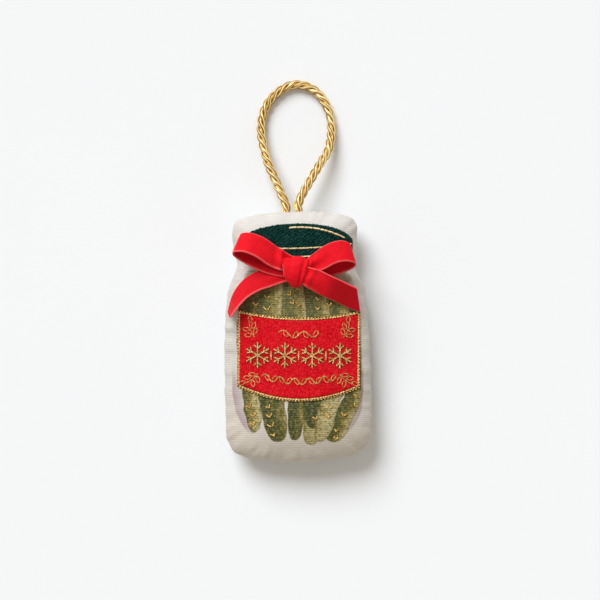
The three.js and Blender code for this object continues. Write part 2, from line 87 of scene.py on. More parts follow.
def applied(thing, kind, **settings):
    chosen(thing)
    modifier = thing.modifiers.new(kind.lower(), kind)
    for key, value in settings.items():
        setattr(modifier, key, value)
    bpy.ops.object.modifier_apply(modifier=modifier.name)


def tree_of(thing):
    mesh = thing.data
    return BVHTree.FromPolygons([v.co for v in mesh.vertices], [list(p.vertices) for p in mesh.polygons])


def mesh_piece(name, places, faces, wearing=None):
    """A new smooth mesh from its points and faces. wearing holds the number of each face's finish."""
    mesh = bpy.data.meshes.new(name)
    mesh.from_pydata(places.tolist(), [], faces)
    if wearing is not None:
        mesh.polygons.foreach_set("material_index", wearing)
    mesh.update()
    made = bpy.data.objects.new(name, mesh)
    bpy.context.scene.collection.objects.link(made)
    mesh.shade_smooth()
    return made


def squares(here, ahead):
    """Faces between each ring of corner numbers in here and the same ring in ahead."""
    return np.stack([here, np.roll(here, -1, 1), np.roll(ahead, -1, 1), ahead], -1).reshape(-1, 4).tolist()


def tubes(name, runs, kinds=None):
    """Closed tubes as one mesh. A run is its rings' points, steps by sides; kinds number the finishes."""
    places, faces, wearing, start = [], [], [], 0
    for rings, kind in zip(runs, kinds or [0] * len(runs)):
        steps, sides = rings.shape[:2]
        places.append(rings.reshape(-1, 3))
        index = start + np.arange(steps * sides).reshape(steps, sides)
        faces += squares(index[:-1], index[1:])
        faces += [index[0][::-1].tolist(), index[-1].tolist()]
        wearing += [kind] * (len(faces) - len(wearing))
        start += steps * sides
    return mesh_piece(name, np.concatenate(places), faces, wearing)


def curve_at(points, shares):
    """Points on a smooth curve through the given points, at shares from 0 to 1 of its count of spans."""
    p = np.array(points, float)
    p = np.vstack([2 * p[0] - p[1], p, 2 * p[-1] - p[-2]])
    spans = len(p) - 3
    place = np.clip(np.asarray(shares, float), 0, 1) * spans
    first = np.minimum(place.astype(int), spans - 1)
    t = (place - first)[:, None]
    a, b, c, d = (p[first + k] for k in range(4))
    spanned = ((a, b), (b, c), (c, d))
    before, here, after = (np.sqrt(np.linalg.norm(y - x, axis=1))[:, None] for x, y in spanned)
    leave = ((b - a) / before - (c - a) / (before + here) + (c - b) / here) * here
    arrive = ((c - b) / here - (d - b) / (here + after) + (d - c) / after) * here
    from_b, from_c = 2 * t**3 - 3 * t**2 + 1, 3 * t**2 - 2 * t**3
    return from_b * b + (t**3 - 2 * t**2 + t) * leave + from_c * c + (t**3 - t**2) * arrive


def along_of(line):
    """How far along the line each of its points lies."""
    return np.concatenate([[0], np.cumsum(np.linalg.norm(np.diff(line, axis=0), axis=1))])


def places_at(line, gone, at):
    """The line's points at the given lengths, where gone is how far along each of its own points lies."""
    return np.stack([np.interp(at, gone, line[:, k]) for k in range(line.shape[1])], 1)


def evenly(line, step):
    gone = along_of(line)
    at = np.linspace(0, gone[-1], max(2, round(gone[-1] / step)) + 1)
    return places_at(line, gone, at), at


def path_through(points, step):
    """A smooth line through the points, as evenly spaced points about step apart."""
    return evenly(curve_at(points, np.linspace(0, 1, 24 * len(points))), step)


def sideways(line, up=(0, 0, 1)):
    """Two directions square to the line at each of its points, the first one level where up is upwards."""
    along = np.gradient(line, axis=0)
    along /= np.linalg.norm(along, axis=1)[:, None]
    level = np.cross(np.array(up, float), along)
    level /= np.linalg.norm(level, axis=1)[:, None]
    return level, np.cross(along, level)


def ring_angles(sides):
    return 2 * math.pi * np.arange(sides) / sides


# Camera, at the photograph's angle and distance

FRAME_WIDTH = 284.6 * MM
LENS = 100
SENSOR = 36
TILT = math.radians(1.2)
AIM = Vector((1.8 * MM, 17.5 * MM, SEAM_Z))
bpy.ops.object.camera_add(location=AIM + Vector((0, 0, FRAME_WIDTH * LENS / SENSOR)), rotation=(0, 0, -TILT))
camera = bpy.context.active_object
camera.name = "camera"
camera.data.lens = LENS
camera.data.sensor_width = SENSOR
camera.data.clip_end = 10
bpy.context.scene.camera = camera


# Materials

class Finish:
    """A material under construction. Its methods add a node and give back the node's output."""

    def __init__(self, name):
        self.material = bpy.data.materials.new(name)
        self.material.use_nodes = True
        self.tree = self.material.node_tree
        self.surface = self.tree.nodes["Principled BSDF"]
        self.place = self.node("ShaderNodeTexCoord").outputs["Object"]

    def node(self, kind, **settings):
        made = self.tree.nodes.new(kind)
        for key, value in settings.items():
            setattr(made, key, value)
        return made

    def feed(self, socket, value):
        if isinstance(value, bpy.types.NodeSocket):
            self.tree.links.new(value, socket)
        else:
            socket.default_value = value

    def math(self, operation, a, b=0.0):
        made = self.node("ShaderNodeMath", operation=operation)
        self.feed(made.inputs[0], a)
        self.feed(made.inputs[1], b)
        return made.outputs[0]

    def plus(self, a, b):
        return self.math("ADD", a, b)

    def minus(self, a, b):
        return self.math("SUBTRACT", a, b)

    def times(self, a, b):
        return self.math("MULTIPLY", a, b)

    def vector(self, x, y, z=0.0):
        made = self.node("ShaderNodeCombineXYZ")
        for socket, given in zip(made.inputs, (x, y, z)):
            self.feed(socket, given)
        return made.outputs[0]

    def span(self, value, low, high, to_low=0.0, to_high=1.0):
        made = self.node("ShaderNodeMapRange", interpolation_type="SMOOTHSTEP")
        for socket, given in zip(made.inputs, (value, low, high, to_low, to_high)):
            self.feed(socket, given)
        return made.outputs[0]

    def mix(self, share, a, b, blend="MIX"):
        made = self.node("ShaderNodeMix", data_type="RGBA", blend_type=blend)
        self.feed(made.inputs[0], share)
        self.feed(made.inputs[6], a)
        self.feed(made.inputs[7], b)
        return made.outputs[2]

    def noise(self, scale, detail=2.0, rough=0.5, at=None, stretch=None):
        where = self.place if at is None else at
        if stretch:
            where = self.scaled(where, stretch)
        made = self.node("ShaderNodeTexNoise")
        self.feed(made.inputs["Vector"], where)
        made.inputs["Scale"].default_value = scale
        made.inputs["Detail"].default_value = detail
        made.inputs["Roughness"].default_value = rough
        return made.outputs["Fac"]

    def scaled(self, vector, scale, turn=(0, 0, 0)):
        made = self.node("ShaderNodeMapping")
        self.feed(made.inputs["Vector"], vector)
        made.inputs["Scale"].default_value = scale
        made.inputs["Rotation"].default_value = turn
        return made.outputs[0]

    def axes(self, vector=None):
        made = self.node("ShaderNodeSeparateXYZ")
        self.feed(made.inputs[0], self.place if vector is None else vector)
        return made.outputs

    def ramp(self, value, stops):
        made = self.node("ShaderNodeValToRGB")
        self.feed(made.inputs[0], value)
        points = made.color_ramp.elements
        while len(points) < len(stops):
            points.new(0.5)
        for point, (where, colour) in zip(points, stops):
            point.position = where
            point.color = (*colour, 1)
        return made.outputs[0]

    def ridges(self, value, period):
        """A smooth 0 to 1 wave, one crest each period of value."""
        turned = self.times(value, 2 * math.pi / period)
        return self.span(self.math("COSINE", turned), -1.0, 1.0)

    def bump(self, height, depth, strength):
        made = self.node("ShaderNodeBump")
        made.inputs["Strength"].default_value = strength
        made.inputs["Distance"].default_value = depth
        self.feed(made.inputs["Height"], height)
        return made.outputs[0]

    def uv(self):
        return self.axes(self.node("ShaderNodeTexCoord").outputs["UV"])

    def done(self, colour, roughness, normal=None, **values):
        self.feed(self.surface.inputs["Base Color"], colour)
        self.feed(self.surface.inputs["Roughness"], roughness)
        if normal is not None:
            self.feed(self.surface.inputs["Normal"], normal)
        for key, value in values.items():
            self.surface.inputs[key.replace("_", " ")].default_value = value
        return self.material


def wears(thing, *materials):
    for material in materials:
        thing.data.materials.append(material)


def on_jar(thing, finishes, slot, *nodes):
    """The piece gets its finishes, hides the nodes it stands for and rides on the jar. slot is not used."""
    wears(thing, *finishes)
    if nodes:
        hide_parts(*nodes)
    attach(thing, "jar")


# Table and light

TABLE_SIZE = 6
TABLE_TINTS = ((0.876, 0.906, 0.926, 1), (0.890, 0.921, 0.941, 1))
SEEN_WHITE = (0.94, 0.94, 0.94, 1)


def table_top():
    bpy.ops.mesh.primitive_plane_add(size=TABLE_SIZE)
    floor = bpy.context.active_object
    floor.name = "table_top"
    finish = Finish("pale table")
    colour = finish.mix(finish.noise(9.0, 3.0), *TABLE_TINTS)
    wears(floor, finish.done(colour, 0.9, Specular_IOR_Level=0.1))


def daylight(name, come_from, strength, spread, colour):
    bpy.ops.object.light_add(type="SUN", location=come_from)
    made = bpy.context.active_object
    made.name = name
    made.data.energy = strength
    made.data.angle = math.radians(spread)
    made.data.color = colour
    made.rotation_euler = (-Vector(come_from)).to_track_quat("-Z", "Y").to_euler()


def studio_air(colour, strength):
    """Even light from all round, seen as white by the camera and in reflections."""
    world = bpy.data.worlds.new("studio")
    bpy.context.scene.world = world
    world.use_nodes = True
    tree = world.node_tree
    air = tree.nodes["Background"]
    air.inputs["Color"].default_value = (*colour, 1)
    air.inputs["Strength"].default_value = strength
    white = tree.nodes.new("ShaderNodeBackground")
    white.inputs["Color"].default_value = SEEN_WHITE
    seen = tree.nodes.new("ShaderNodeLightPath")
    either = seen.outputs["Is Camera Ray"]
    for kind in ("Is Glossy Ray", "Is Transmission Ray"):
        larger = tree.nodes.new("ShaderNodeMath")
        larger.operation = "MAXIMUM"
        tree.links.new(either, larger.inputs[0])
        tree.links.new(seen.outputs[kind], larger.inputs[1])
        either = larger.outputs[0]
    choice = tree.nodes.new("ShaderNodeMixShader")
    tree.links.new(either, choice.inputs[0])
    tree.links.new(air.outputs[0], choice.inputs[1])
    tree.links.new(white.outputs[0], choice.inputs[2])
    tree.links.new(choice.outputs[0], tree.nodes["World Output"].inputs["Surface"])


table_top()
daylight("window_light", come_from=(-0.56, 1.04, 1.06), strength=2.85, spread=34, colour=(0.98, 1.01, 1.06))
studio_air(colour=(1.05, 0.95, 0.84), strength=0.43)
bpy.context.scene.view_settings.view_transform = "Standard"


# Hanging cord: three strands laid round each other, along the same route as the frame's cord

CORD_STEP = 0.3 * MM
CORD_LAY = 13.1 * MM
STRANDS = 3
STRAND = 1.1 * MM
STRAND_OUT = 1.02 * MM
STRAND_SIDES = 48
STRAND_THREADS = 5
THREAD_SWELL = 0.07
THREAD_TURNS = 0.15 / CORD_LAY
CORD_ROUTE = [
    (-3.3, 50.5, 12.0), (-3.6, 55.5, 12.0), (-3.9, 60.5, 12.0), (-4.04, 62.9, 12.0), (-5.9, 67.8, 11.9),
    (-9.2, 75.6, 10.7), (-12.1, 83.3, 8.4), (-14.3, 91.6, 5.8), (-15.1, 98.8, 3.9), (-14.1, 106.6, 2.7),
    (-11.1, 112.8, 2.3), (-6.4, 117.6, 2.2), (-0.9, 120.5, 2.2), (4.5, 120.7, 2.2), (10.4, 118.3, 2.2),
    (14.8, 113.6, 2.3), (17.4, 108.1, 2.6), (18.5, 102.2, 3.3), (18.3, 95.4, 4.7), (16.6, 88.7, 6.5),
    (13.3, 82.8, 8.5), (9.0, 76.1, 10.6), (5.3, 69.8, 11.8), (1.94, 62.9, 12.0), (1.8, 60.5, 12.0),
    (1.5, 55.5, 12.0), (1.2, 50.5, 12.0),
]


# The silk's streaks, as counts for a metre along and for a radian round, and its tints from painted shade in
# the grooves to painted highlight on the crests; the streaks move the tint too, partly as uneven tone and
# partly as painted sheen
SILK_ALONG, SILK_ROUND = 30.0, 3.4
SILK_TINTS = [
    (0.36, (0.17, 0.070, 0.008)), (0.45, (0.46, 0.25, 0.05)),
    (0.54, (0.80, 0.54, 0.17)), (0.64, (1.0, 0.88, 0.50)),
]
SILK_GLOSS = (1.0, 0.9, 0.65, 1)


def uv_round(thing, runs):
    """A UV map on tubes: u along in metres, v once round."""
    layer = thing.data.uv_layers.new(name="UVMap")
    values = []
    for rings in runs:
        steps, sides = rings.shape[:2]
        u = np.repeat(along_of(rings.mean(1))[:, None], sides + 1, 1)
        v = np.repeat((np.arange(sides + 1) / sides)[None], steps, 0)
        here = np.stack([u, v], -1)
        quad = np.stack([here[:-1, :-1], here[:-1, 1:], here[1:, 1:], here[1:, :-1]], 2)
        values += [quad.reshape(-1, 2), here[0, :-1][::-1], here[-1, :-1]]
    layer.data.foreach_set("uv", np.concatenate(values).ravel())


def gold_silk():
    finish = Finish("gold silk")
    u, v = finish.uv()[:2]
    lane = finish.times(finish.plus(v, finish.times(u, THREAD_TURNS)), 2 * math.pi)
    groove = finish.math("COSINE", finish.times(lane, STRAND_THREADS))
    wound = finish.vector(
        finish.times(u, SILK_ALONG),
        finish.times(finish.math("COSINE", lane), SILK_ROUND),
        finish.times(finish.math("SINE", lane), SILK_ROUND),
    )
    streak = finish.noise(1.0, 3.0, 0.6, at=wound)
    shade = finish.plus(finish.times(streak, 0.55), 0.215)
    # Painted shade in the grooves between the threads and painted highlight on their crests
    shade = finish.plus(shade, finish.times(groove, 0.12))
    normal = finish.bump(shade, 0.16 * MM, 0.8)
    return finish.done(finish.ramp(shade, SILK_TINTS), 0.34, normal,
                       Metallic=0.45, Specular_IOR_Level=0.5, Specular_Tint=SILK_GLOSS)


def hanging_cord():
    line, gone = path_through(np.array(CORD_ROUTE) * MM, CORD_STEP)
    level, up = sideways(line)
    angle = ring_angles(STRAND_SIDES)
    across = np.cos(angle)[None, :, None] * level[:, None] + np.sin(angle)[None, :, None] * up[:, None]
    thread = STRAND_THREADS * (angle[None] + 2 * math.pi * THREAD_TURNS * gone[:, None])
    radius = STRAND * (1 + THREAD_SWELL * np.cos(thread))
    runs = []
    for strand in range(STRANDS):
        turn = 2 * math.pi * (strand / STRANDS - gone / CORD_LAY)[:, None]
        middle = line + STRAND_OUT * (np.cos(turn) * level + np.sin(turn) * up)
        runs.append(middle[:, None] + radius[..., None] * across)
    made = tubes("hanging_cord_twist", runs)
    uv_round(made, runs)
    wears(made, gold_silk())
    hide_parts("hanging_cord", "cord_end_left", "cord_end_right")
    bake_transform(made)


hanging_cord()


# Cotton cloth, with the gherkins printed on its front

LABEL_TILT = math.radians(-1.7)
CLOTH_RIB = 1.04 * MM
CLOTH_YARN = 0.46 * MM
PRINT_MIDDLE = 0.9 * MM
PRINT_HALF = 29.3 * MM
PRINT_WOBBLE = 2.0 * MM

# Gherkins on the flat cloth: middle x and y, half width, half length, tilt in degrees, bend, paleness
GHERKINS = [
    (-14.5, 17, 5.0, 17.5, -5, 0, 0.2), (-2.5, 17, 5.0, 18.5, 0, 0, 0.9),
    (8.5, 17, 5.0, 18, 3, 0, 0.1), (16.6, 15, 5.0, 18, 6, 0, 0.7),
    (-23.3, 12.0, 4.7, 20.5, -10, 0.1, 0.25), (26.4, 11.4, 4.9, 20, 12, 0, 0.3),
    (-12.2, 12.6, 5.3, 19.6, -4, -0.1, 0.62), (-0.8, 14, 4.9, 20, 1, 0.1, 0.58),
    (10.4, 12.6, 5.4, 19, 4, 0.1, 0.54), (20.6, 11, 5.0, 20, 8, -0.1, 0.62),
    (6.6, -27.2, 4.5, 24, -2, 0, 1.15), (-22.5, -22, 4.2, 22.8, 5, 0.15, 0.84),
    (-13.1, -23.4, 6.2, 26, 6, -0.1, 0.38), (-0.9, -23.2, 3.8, 25.4, -2, 0.05, 0.34),
    (7.8, -19.4, 4.7, 23.4, -3, 0.05, -0.1), (27.0, -21, 4.2, 18, -14, 0.1, 0.3),
    (22.4, -36, 4.9, 16, -26, 0.2, 0.62), (16.2, -26, 4.5, 24.6, -15, 0.15, 1.12),
]

# Tints of the gherkins' skin from dark to pale, then of what lies over it
SKIN_TINTS = [
    (0.0, (0.015, 0.034, 0.008)), (0.3, (0.034, 0.058, 0.010)), (0.48, (0.092, 0.095, 0.014)),
    (0.64, (0.21, 0.17, 0.035)), (0.82, (0.40, 0.315, 0.11)), (1.0, (0.57, 0.49, 0.25)),
]
RIM_TINT = (0.08, 0.068, 0.012, 1)
WART_HALO_TINT = (0.42, 0.34, 0.11, 1)
WART_HEART_TINT = (0.05, 0.036, 0.008, 1)
SPECK_DARK_TINT = (0.026, 0.036, 0.007, 1)
SPECK_PALE_TINT = (0.50, 0.40, 0.12, 1)
SHOULDER_TINT = (0.235, 0.185, 0.075, 1)
UPPER_TINT = (0.44, 0.40, 0.17, 1)
# Painted shade in the weave's grooves over the print
SKIN_GROOVE_TINT = (0.04, 0.045, 0.01, 1)
SKIN_WORN_TINT = (0.54, 0.45, 0.16, 1)

# Tints of the bare cloth, of the painted shade in its weave's grooves, at its foot and on its left side, and
# of the grey wash that draws the jar's glass
CREAM_TINTS = ((0.61, 0.58, 0.54, 1), (0.72, 0.70, 0.665, 1))
CREAM_GROOVE_TINT = (0.50, 0.46, 0.40, 1)
CREAM_FOOT_TINT = (0.97, 0.935, 0.86, 1)
CREAM_SIDE_TINT = (0.90, 0.88, 0.85, 1)
GLASS_TINT = (0.42, 0.33, 0.335, 1)


def wandering(finish, flat):
    """The flat coordinates led a little astray, so that the print's edges look brushed."""
    wander = finish.node("ShaderNodeTexNoise", noise_dimensions="2D")
    finish.feed(wander.inputs["Vector"], flat)
    wander.inputs["Scale"].default_value = 170
    wander.inputs["Detail"].default_value = 4
    away = finish.node("ShaderNodeVectorMath", operation="SUBTRACT")
    finish.feed(away.inputs[0], wander.outputs["Color"])
    away.inputs[1].default_value = (0.5, 0.5, 0.5)
    wobble = finish.node("ShaderNodeVectorMath", operation="MULTIPLY_ADD")
    finish.feed(wobble.inputs[0], away.outputs[0])
    wobble.inputs[1].default_value = (PRINT_WOBBLE, PRINT_WOBBLE, 0)
    finish.feed(wobble.inputs[2], flat)
    return wobble.outputs[0]


def one_gherkin(finish, place, x, y, half, reach, tilt, bend, pale):
    """How far across and how far out a place lies and how pale it is there, as a vector, and its cover."""
    local = finish.node("ShaderNodeMapping", vector_type="TEXTURE")
    finish.feed(local.inputs["Vector"], place)
    local.inputs["Location"].default_value = (x * MM, y * MM, 0)
    local.inputs["Rotation"].default_value = (0, 0, math.radians(tilt))
    local.inputs["Scale"].default_value = (half * MM, reach * MM, 1)
    a, b = finish.axes(local.outputs[0])[:2]
    b2 = finish.times(b, b)
    a = finish.plus(a, finish.times(b2, bend))
    out = finish.plus(finish.times(a, a), finish.math("POWER", b2, 3.4))
    return finish.vector(a, out, pale), finish.span(out, 0.82, 1.0, 1.0, 0.0)


def printed_gherkins(finish, flat):
    """Colour and cover of the print, from the cloth's own flat coordinates."""
    place = wandering(finish, flat)
    facts, cover = one_gherkin(finish, place, *GHERKINS[0])
    for gherkin in GHERKINS[1:]:
        own, covered = one_gherkin(finish, place, *gherkin)
        nearer = finish.node("ShaderNodeMix", data_type="VECTOR")
        finish.feed(nearer.inputs[0], covered)
        finish.feed(nearer.inputs[4], facts)
        finish.feed(nearer.inputs[5], own)
        facts = nearer.outputs[1]
        cover = finish.math("MAXIMUM", cover, covered)
    across, out, pale = finish.axes(facts)
    streaks = finish.noise(1.0, 3.0, 0.6, at=finish.scaled(flat, (620.0, 120.0, 1.0)))
    blotch = finish.noise(280.0, 3.0, 0.7, at=flat)
    speckle = finish.noise(1000.0, 2.0, 0.7, at=flat)
    warts = finish.node("ShaderNodeTexVoronoi", voronoi_dimensions="2D")
    finish.feed(warts.inputs["Vector"], flat)
    warts.inputs["Scale"].default_value = 430
    from_wart = warts.outputs["Distance"]
    tone = finish.plus(finish.times(across, 0.52), 0.42)
    for value, weight in ((pale, 1.1), (streaks, 0.8), (blotch, 1.4)):
        tone = finish.plus(tone, finish.times(finish.minus(value, 0.5), weight))
    skin = finish.ramp(tone, SKIN_TINTS)
    for share, tint in (
        (finish.span(out, 0.5, 0.97, 0.0, 0.5), RIM_TINT),
        (finish.span(from_wart, 0.16, 0.42, 0.3, 0.0), WART_HALO_TINT),
        (finish.span(from_wart, 0.07, 0.2, 0.4, 0.0), WART_HEART_TINT),
        (finish.span(speckle, 0.5, 0.64, 0.0, 0.6), SPECK_DARK_TINT),
        (finish.span(speckle, 0.48, 0.34, 0.0, 0.42), SPECK_PALE_TINT),
    ):
        skin = finish.mix(share, skin, tint)
    return skin, cover


def glass_wash(finish, flat, u, v, high):
    """How much of the jar's washed glass shows, at its sides and round its foot."""
    side = finish.span(finish.math("ABSOLUTE", u), 21 * MM, 26 * MM)
    low = finish.math("MINIMUM", finish.plus(v, 18 * MM), 0.0)
    bend = finish.math("POWER", finish.math("DIVIDE", finish.math("ABSOLUTE", low), 32 * MM), 3.0)
    wide = finish.math("POWER", finish.math("DIVIDE", finish.math("ABSOLUTE", u), 31.8 * MM), 3.0)
    reach = finish.plus(wide, bend)
    edge = finish.span(reach, 0.96, 1.04, 1.0, 0.0)
    lower = finish.span(v, -12 * MM, -24 * MM, 0.12, 1.0)
    pooled = finish.times(finish.span(reach, 0.5, 0.95, 0.45, 1.0), lower)
    glass = finish.times(finish.times(side, edge), finish.times(high, pooled))
    return finish.times(glass, finish.span(finish.noise(170.0, 3.0, 0.6, at=flat), 0.3, 0.6, 0.72, 1.0))


def printed(finish, cream, x, rib, slub, groove):
    """The cream cloth with the jar's glass and the gherkins printed on it."""
    flat = finish.node("ShaderNodeTexCoord").outputs["UV"]
    skin, cover = printed_gherkins(finish, flat)
    u, v = finish.axes(flat)[:2]
    out = finish.math("ABSOLUTE", u)
    high = finish.span(v, 34.5 * MM, 36.5 * MM, 1.0, 0.0)
    washed = finish.mix(glass_wash(finish, flat, u, v, high), cream, GLASS_TINT)
    beside = finish.math("ABSOLUTE", finish.minus(x, PRINT_MIDDLE))
    beside = finish.plus(beside, finish.times(finish.noise(420.0, 3.0, 0.6), 1.6 * MM))
    within = finish.span(beside, PRINT_HALF, PRINT_HALF + 1.2 * MM, 1.0, 0.0)
    ink = finish.times(finish.times(cover, high), within)
    cloud = finish.span(finish.noise(260.0, 4.0, 0.65, at=flat), 0.3, 0.62, 0.45, 1.25)
    shoulder = finish.times(finish.span(out, 14 * MM, 19 * MM), finish.span(v, 19 * MM, 25 * MM))
    thinned = finish.plus(finish.times(finish.span(v, 24 * MM, 35 * MM), 0.55),
                          finish.times(finish.span(out, 22 * MM, 28 * MM), 0.35))
    thinned = finish.times(finish.plus(thinned, 0.1), cloud)
    ink = finish.times(ink, finish.minus(1.0, finish.times(shoulder, thinned)))
    for share, tint in (
        (finish.times(shoulder, 0.72), SHOULDER_TINT),
        (finish.span(v, 3 * MM, 12 * MM, 0.0, 0.12), UPPER_TINT),
        # painted shade: the print darker in the weave's grooves
        (finish.times(groove, 0.5), SKIN_GROOVE_TINT),
        (finish.times(finish.times(rib, slub), 0.13), SKIN_WORN_TINT),
    ):
        skin = finish.mix(share, skin, tint)
    return finish.mix(finish.times(ink, 0.97), washed, skin)


def cotton(name, with_print):
    finish = Finish(name)
    x, y = finish.axes()[:2]
    rib = finish.ridges(finish.plus(y, finish.times(finish.noise(38.0, 2.0), 0.9 * MM)), CLOTH_RIB)
    yarn = finish.ridges(finish.plus(x, finish.times(rib, 0.2 * MM)), CLOTH_YARN)
    slub = finish.noise(1.0, 3.0, 0.6, stretch=(240.0, 1400.0, 240.0))
    broken = finish.span(finish.noise(1.0, 2.0, 0.6, stretch=(420.0, 900.0, 420.0)), 0.3, 0.7)
    # The weave's grooves, drawn darker in the colour below as painted shade
    groove = finish.times(finish.minus(1.0, rib), finish.times(broken, 1.2))
    colour = finish.mix(slub, *CREAM_TINTS)
    colour = finish.mix(finish.times(groove, 0.22), colour, CREAM_GROOVE_TINT)
    # Painted shade: the cloth drawn warmer and darker towards its foot, where it turns from the light, and
    # darker on its left side
    colour = finish.mix(finish.span(y, -12 * MM, -56 * MM), colour, CREAM_FOOT_TINT, "MULTIPLY")
    colour = finish.mix(finish.span(x, -22 * MM, -32 * MM, 0.0, 0.8), colour, CREAM_SIDE_TINT, "MULTIPLY")
    if with_print:
        colour = printed(finish, colour, x, rib, slub, groove)
    relief = finish.plus(rib, finish.times(finish.plus(yarn, slub), 0.5))
    normal = finish.bump(relief, 0.08 * MM, 0.75)
    return finish.done(colour, 0.9, normal, Specular_IOR_Level=0.05)


# Stuffed jar: a front and a back panel joined round their edge, filled in a cloth simulation

SPINE_TOP = TOP_Y - 27.3 * MM
SPINE_BOTTOM = BOTTOM_Y + 32.4 * MM
BULGE_FOOT, BULGE_NECK = 14 * MM, 12.6 * MM
BULGE_BACK = 12.5 * MM
BULGE_CUT = 13.5 * MM
CUT_EASE = 0.035
CUT_STEP = 1.6 * MM
CUT_POINTS = 400
FILLED_TO = 150e-6
CLOTH_SCALE = 10
CLOTH_FRAMES = 14
SEAM_PULL = 0.7 * MM
LUMP, LUMP_MOVE = 15 * MM, 0.7 * MM
PUCKER, PUCKER_MOVE = 4.2 * MM, 1.05 * MM
SPINE_RAYS = 60

panel_skin = tree_of(bpy.data.objects["front_panel"])


def panel_top(x, y):
    return panel_skin.ray_cast(Vector((x, y, 0.2)), Vector((0, 0, -1)))[0].z


def finished_outline():
    """The frame's outline at the seam, met from outside at even steps all the way round."""
    straight, bend = range(SPINE_RAYS + 1), range(1, SPINE_RAYS)
    rays = [(between(SPINE_BOTTOM, SPINE_TOP, i / SPINE_RAYS), 0.0) for i in straight]
    rays += [(SPINE_TOP, math.pi * i / SPINE_RAYS) for i in bend]
    rays += [(between(SPINE_TOP, SPINE_BOTTOM, i / SPINE_RAYS), math.pi) for i in straight]
    rays += [(SPINE_BOTTOM, math.pi + math.pi * i / SPINE_RAYS) for i in bend]
    outline = []
    for y, turn in rays:
        middle = Vector((0, y, SEAM_Z + 0.4 * MM))
        out = Vector((math.cos(turn), math.sin(turn), 0))
        hit = panel_skin.ray_cast(middle + out * 0.1, -out)[0]
        beside_cords = hit.y > 0.02 and abs(hit.x + 1 * MM) < 7.5 * MM
        if (hit - middle).dot(out) > 0.02 and not beside_cords:
            outline.append((hit.x, hit.y))
    return np.array(outline)


def closed(ring):
    return np.vstack([ring, ring[:1]])


def eased(ring, times):
    """The values of a ring, each drawn towards its two neighbours."""
    for _ in range(times):
        ring = (np.roll(ring, 1, 0) + 2 * ring + np.roll(ring, -1, 0)) / 4
    return ring


def evenly_round(ring, count):
    gone = along_of(closed(ring))
    return places_at(closed(ring), gone, np.linspace(0, gone[-1], count, endpoint=False))


def inside(ring, points):
    ax, ay = ring[:, 0][:, None], ring[:, 1][:, None]
    bx, by = np.roll(ring, -1, 0)[:, 0][:, None], np.roll(ring, -1, 0)[:, 1][:, None]
    x, y = points[:, 0][None], points[:, 1][None]
    span = np.where(by == ay, 1e-12, by - ay)
    crosses = ((ay > y) != (by > y)) & (x < ax + (bx - ax) * (y - ay) / span)
    return crosses.sum(0) % 2 == 1


def ring_reach(ring, middles, outs):
    """How far it is from each middle point to the ring along its own direction."""
    edge = (np.roll(ring, -1, 0) - ring)[None]
    start = ring[None] - middles[:, None]
    slant = outs[:, None, 0] * edge[..., 1] - outs[:, None, 1] * edge[..., 0]
    slant = np.where(np.abs(slant) < 1e-12, 1e-12, slant)
    far = (start[..., 0] * edge[..., 1] - start[..., 1] * edge[..., 0]) / slant
    share = (start[..., 0] * outs[:, None, 1] - start[..., 1] * outs[:, None, 0]) / slant
    return np.where((far > 0) & (share >= -1e-6) & (share <= 1 + 1e-6), far, np.inf).min(1)


def triangles_in(ring, step):
    """Points and triangles that fill a ring evenly, its own points first."""
    rows = np.arange(ring[:, 1].min(), ring[:, 1].max(), step * 0.866)
    columns = np.arange(ring[:, 0].min(), ring[:, 0].max(), step)
    points = np.array([(x + (j % 2) * step / 2, y) for j, y in enumerate(rows) for x in columns])
    points = points[inside(ring, points)]
    clear = np.hypot(points[:, None, 0] - ring[None, :, 0], points[:, None, 1] - ring[None, :, 1]).min(1)
    points = np.vstack([ring, points[clear > 0.75 * step]])
    edges = [(i, (i + 1) % len(ring)) for i in range(len(ring))]
    made = delaunay_2d_cdt([Vector(p) for p in points.tolist()], edges, [], 1, 1e-7)
    points = np.array([tuple(p) for p in made[0]])
    faces = np.array([list(f) for f in made[2]])
    a, b, c = (points[faces[:, k]] for k in range(3))
    turned = (b - a)[:, 0] * (c - a)[:, 1] - (b - a)[:, 1] * (c - a)[:, 0] < 0
    faces[turned] = faces[turned][:, ::-1]
    return points, faces


def swell(u):
    return (1 - np.clip(u, 0, 1) ** 2.5) ** 0.55


def nearest_on(cut, middle, outs):
    """The number of the cut's point that each direction comes nearest to."""
    foot = middle + outs * ring_reach(cut, middle, outs)[:, None]
    return np.hypot(foot[:, None, 0] - cut[None, :, 0], foot[:, None, 1] - cut[None, :, 1]).argmin(1)


def wrinkled(flat, cut, middle, outs, shares, rim):
    """Moves that give the panels the puckers along their seam and the soft lumps of hand filling."""
    gone = along_of(closed(cut))[:-1]
    turn = gone[nearest_on(cut, middle, outs)] / gone[-1] * 2 * math.pi
    round_x, round_y = gone[-1] / (2 * math.pi) * np.cos(turn), gone[-1] / (2 * math.pi) * np.sin(turn)
    away = np.column_stack([outs, np.zeros(len(outs))])

    def layer(pick, side):
        moves = np.zeros((len(pick), 3))
        for row, k in enumerate(pick):
            share, spot = shares[k], Vector((round_x[k], round_y[k], 0))
            pucker = noise.noise(spot / PUCKER + Vector((0, 0, share * 1.6 + 9 * side)))
            pucker += 0.5 * noise.noise(spot / (PUCKER / 2) + Vector((0, 0, share * 2.4 + 5 * side)))
            lump = noise.noise(Vector((*flat[k], 0.02 * side)) / LUMP)
            near_seam = smooth(share, 0.66, 0.93) * (1 - 0.55 * smooth(share, 0.95, 1.0))
            shove = LUMP_MOVE * lump * (1 - smooth(share, 0.8, 1.0)) + PUCKER_MOVE * pucker * near_seam
            moves[row] = away[k] * shove * share + Vector((0, 0, side * shove * (1 - share**3)))
        return moves

    front_moves = layer(range(len(flat)), 1)
    return np.vstack([front_moves, layer(range(rim, len(flat)), -1)])


